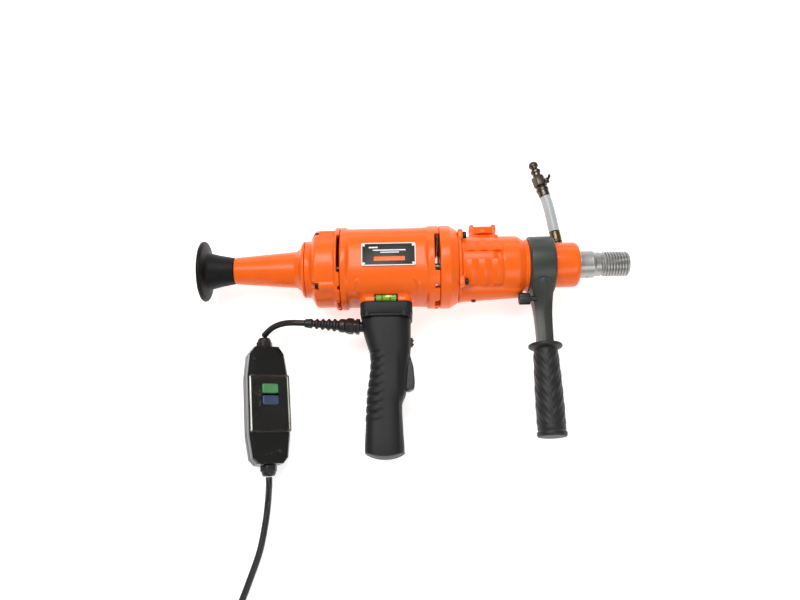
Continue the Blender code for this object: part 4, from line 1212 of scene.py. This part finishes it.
def build_gland():
    body = lathe([(9, 4.6), (9, 6.5), (-0.8, 6.5), (-0.8, 7.6), (-6, 7.6), (-6, 8.2), (-8.6, 8.2),
                  (-8.6, 9.4), (-17, 9.4), (-19, 8.4), (-19, 4.6)], "X", 48, soft=0.4)
    nuts = [hex_nut(18.0, 0.9, -0.9, -5.9, "X", 0.8), hex_nut(18.6, 1.2, -8.8, -16.6, "X", 1.1)]
    for nut in nuts:
        cut(nut, cylinder(5.2, -20, 4, "X", 32))
    stand_in(moved(joined(body, *nuts), GLAND), "cable_gland", "moulding", sharp=30)
    profile = [(-19.4, 4.4), (-19.4, 8.3), (-20.4, 8.7), (-25.6, 8.5), (-26.6, 7.4)]
    for rib in range(5):
        x = -28.2 - 7.4 * rib
        radius = 8.1 - 0.45 * rib
        profile += [(x, radius - 2.2), (x - 1.8, radius - 2.0), (x - 3.2, radius), (x - 5.2, radius - 0.1)]
    profile += [(-66, 5.7), (-69.8, 5.3), (-69.8, 4.4)]
    boot = moved(lathe(profile, "X", 48, soft=0.7), GLAND)
    return stand_in(boot, "strain_relief", "moulding")


# ---- residual current device ----

def prcd_loft(stations, outline):
    return loft([[(x * across, y, z * thick) for x, z in outline] for y, across, thick in stations])


def in_device(obj, name, look, *nodes, body="machine"):
    return emit(moved(obj, PRCD), name, look, *nodes, body=body, sharp=32)


def build_prcd():
    half = PRCD_LENGTH / 2
    shell = [(-half, 0.62, 1.0), (-half + 7, 0.86, 1.0), (-38, 1.0, 1.0), (36, 1.0, 1.0),
             (half - 9, 0.86, 1.0), (half, 0.62, 1.0)]
    side, low, keel, split = PRCD_HALF_W, -PRCD_HALF_T, PRCD_KEEL_HALF_W, PRCD_SPLIT
    back = prcd_loft(shell, [(-side, split), (-side, PRCD_CHAMFER_Z), (-keel, low), (keel, low),
                             (side, PRCD_CHAMFER_Z), (side, split)])
    front = prcd_loft(shell, [(side, split + 0.3), (side, 12.6), (23.4, 15.6), (-23.4, 15.6), (-side, 12.6),
                              (-side, split + 0.3)])
    hollow = prcd_loft([(-half + 4, 0.6, 0.6), (-38, 0.9, 1.0), (36, 0.9, 1.0), (half - 4, 0.6, 0.6)],
                       [(23, 0), (23, 12.2), (-23, 12.2), (-23, 0)])
    cut(front, hollow)
    for sign in (1, -1):
        for half_shell in (front, back):
            cut(half_shell, cylinder(6.6, sign * half - 8, sign * half + 6, "Y", 40, (0, 0, PRCD_GLAND_Z)))
    cut(front, block((-11.2, BLUE_BUTTON_Y - 6.5, 8), (11.2, GREEN_BUTTON_Y + 6.5, 18), 0.6))
    for sign in (1, -1):
        cut(front, block((-15, sign * 54 - 0.5, 15.1), (15, sign * 54 + 0.5, 20), 0.1))
        cut(back, block((sign * 27 - 2, -30, -4), (sign * 27 + 2, 30, -2.8), 0.2))
    in_device(bevelled(back, 1.1), "prcd_back_fine", "gloss_black", "prcd_back_shell")
    in_device(bevelled(front, 0.9), "prcd_front_fine", "gloss_black", "prcd_front_shell")
    cover = prism(rounded_rectangle(25.6, 35.6, 2.4), 15.9, PRCD_HALF_T + 0.8, "Z", 0.8)
    cut(cover, prism(rounded_rectangle(24.0, 34.0, 1.6), 13, PRCD_HALF_T - 0.5, "Z", 0.2),
        prism(rounded_rectangle(10.9, (GREEN_BUTTON_Y - BLUE_BUTTON_Y) / 2 + 6.2, 1.6, 6,
                                (0, (GREEN_BUTTON_Y + BLUE_BUTTON_Y) / 2)), 10, 30, "Z", 0.1))
    in_device(cover, "prcd_cover_fine", "clear_cover", "prcd_window")
    for node, y, look in (("reset_button", GREEN_BUTTON_Y, "green"),
                          ("test_button", BLUE_BUTTON_Y, "blue")):
        button = prism(rounded_rectangle(10, 5.8, 1.6, 6, (0, y)), 9, PRCD_HALF_T + 2.4, "Z", 1.2, 5)
        hollow = rounded_rectangle(7.6, 3.6, 1.2, 6, (0, y))
        cut(button, prism(hollow, PRCD_HALF_T + 2.0, PRCD_HALF_T + 4, "Z", 0.15))
        in_device(button, node + "_fine", look, node, body=node)
    glands = []
    for node, sign in (("prcd_gland_top", 1), ("prcd_gland_bottom", -1)):
        profile = [(half - 5, 4.2), (half - 5, 6), (half + 0.4, 6), (half + 0.4, 8.4), (half + 8, 8.8),
                   (half + 11, 8.4), (half + 13.4, 7.2), (half + 13.4, 4.2)]
        gland = lathe([(sign * y, r) for y, r in profile], "Y", 48, (0, 0, PRCD_GLAND_Z), 0.6)
        nut = hex_nut(18.6, 1.1, sign * (half + 0.5), sign * (half + 8.4), "Y", 1.0, (PRCD_GLAND_Z, 0))
        glands.append(in_device(joined(gland, nut), node + "_fine", "moulding", node))
    return glands


# ---- inner pieces keep their solids ----

INNER_LOOKS = {
    "laminations": ("stator_core", "rotor_core"),
    "brass": ("brush_holder_1", "brush_holder_2"),
    "copper": ("commutator",),
    "pad_rubber": ("shaft_seal",),
    "moulding": ("cooling_fan", "trigger_switch"),
    "bright_steel": ("armature_shaft", "rotor_rear_bearing", "rotor_front_bearing", "spindle_rear_bearing",
                     "spindle_front_bearing", "countershaft", "output_gear"),
}


def dress_inner_pieces():
    for look, names in INNER_LOOKS.items():
        for name in names:
            mesh = NODES[name].data
            mesh.materials.clear()
            mesh.materials.append(LOOKS[look][0])


build_camera()
build_studio()
build_cords(build_plug(), build_gland(), build_prcd())
build_breast_pad()
build_rear_cone()
build_rear_housing()
build_motor_housing()
build_nameplate()
build_level_vial()
build_screws()
build_gearbox_cover()
build_gearbox_housing()
build_selector()
build_water_collar()
build_spindle()
build_handle_clamp()
build_handle_grip()
build_clamp_knob()
build_hose()
build_water_fittings()
build_grip_shell("grip_shell_left", 1)
build_grip_shell("grip_shell_right", -1)
build_grip_collar()
build_trigger()
dress_inner_pieces()
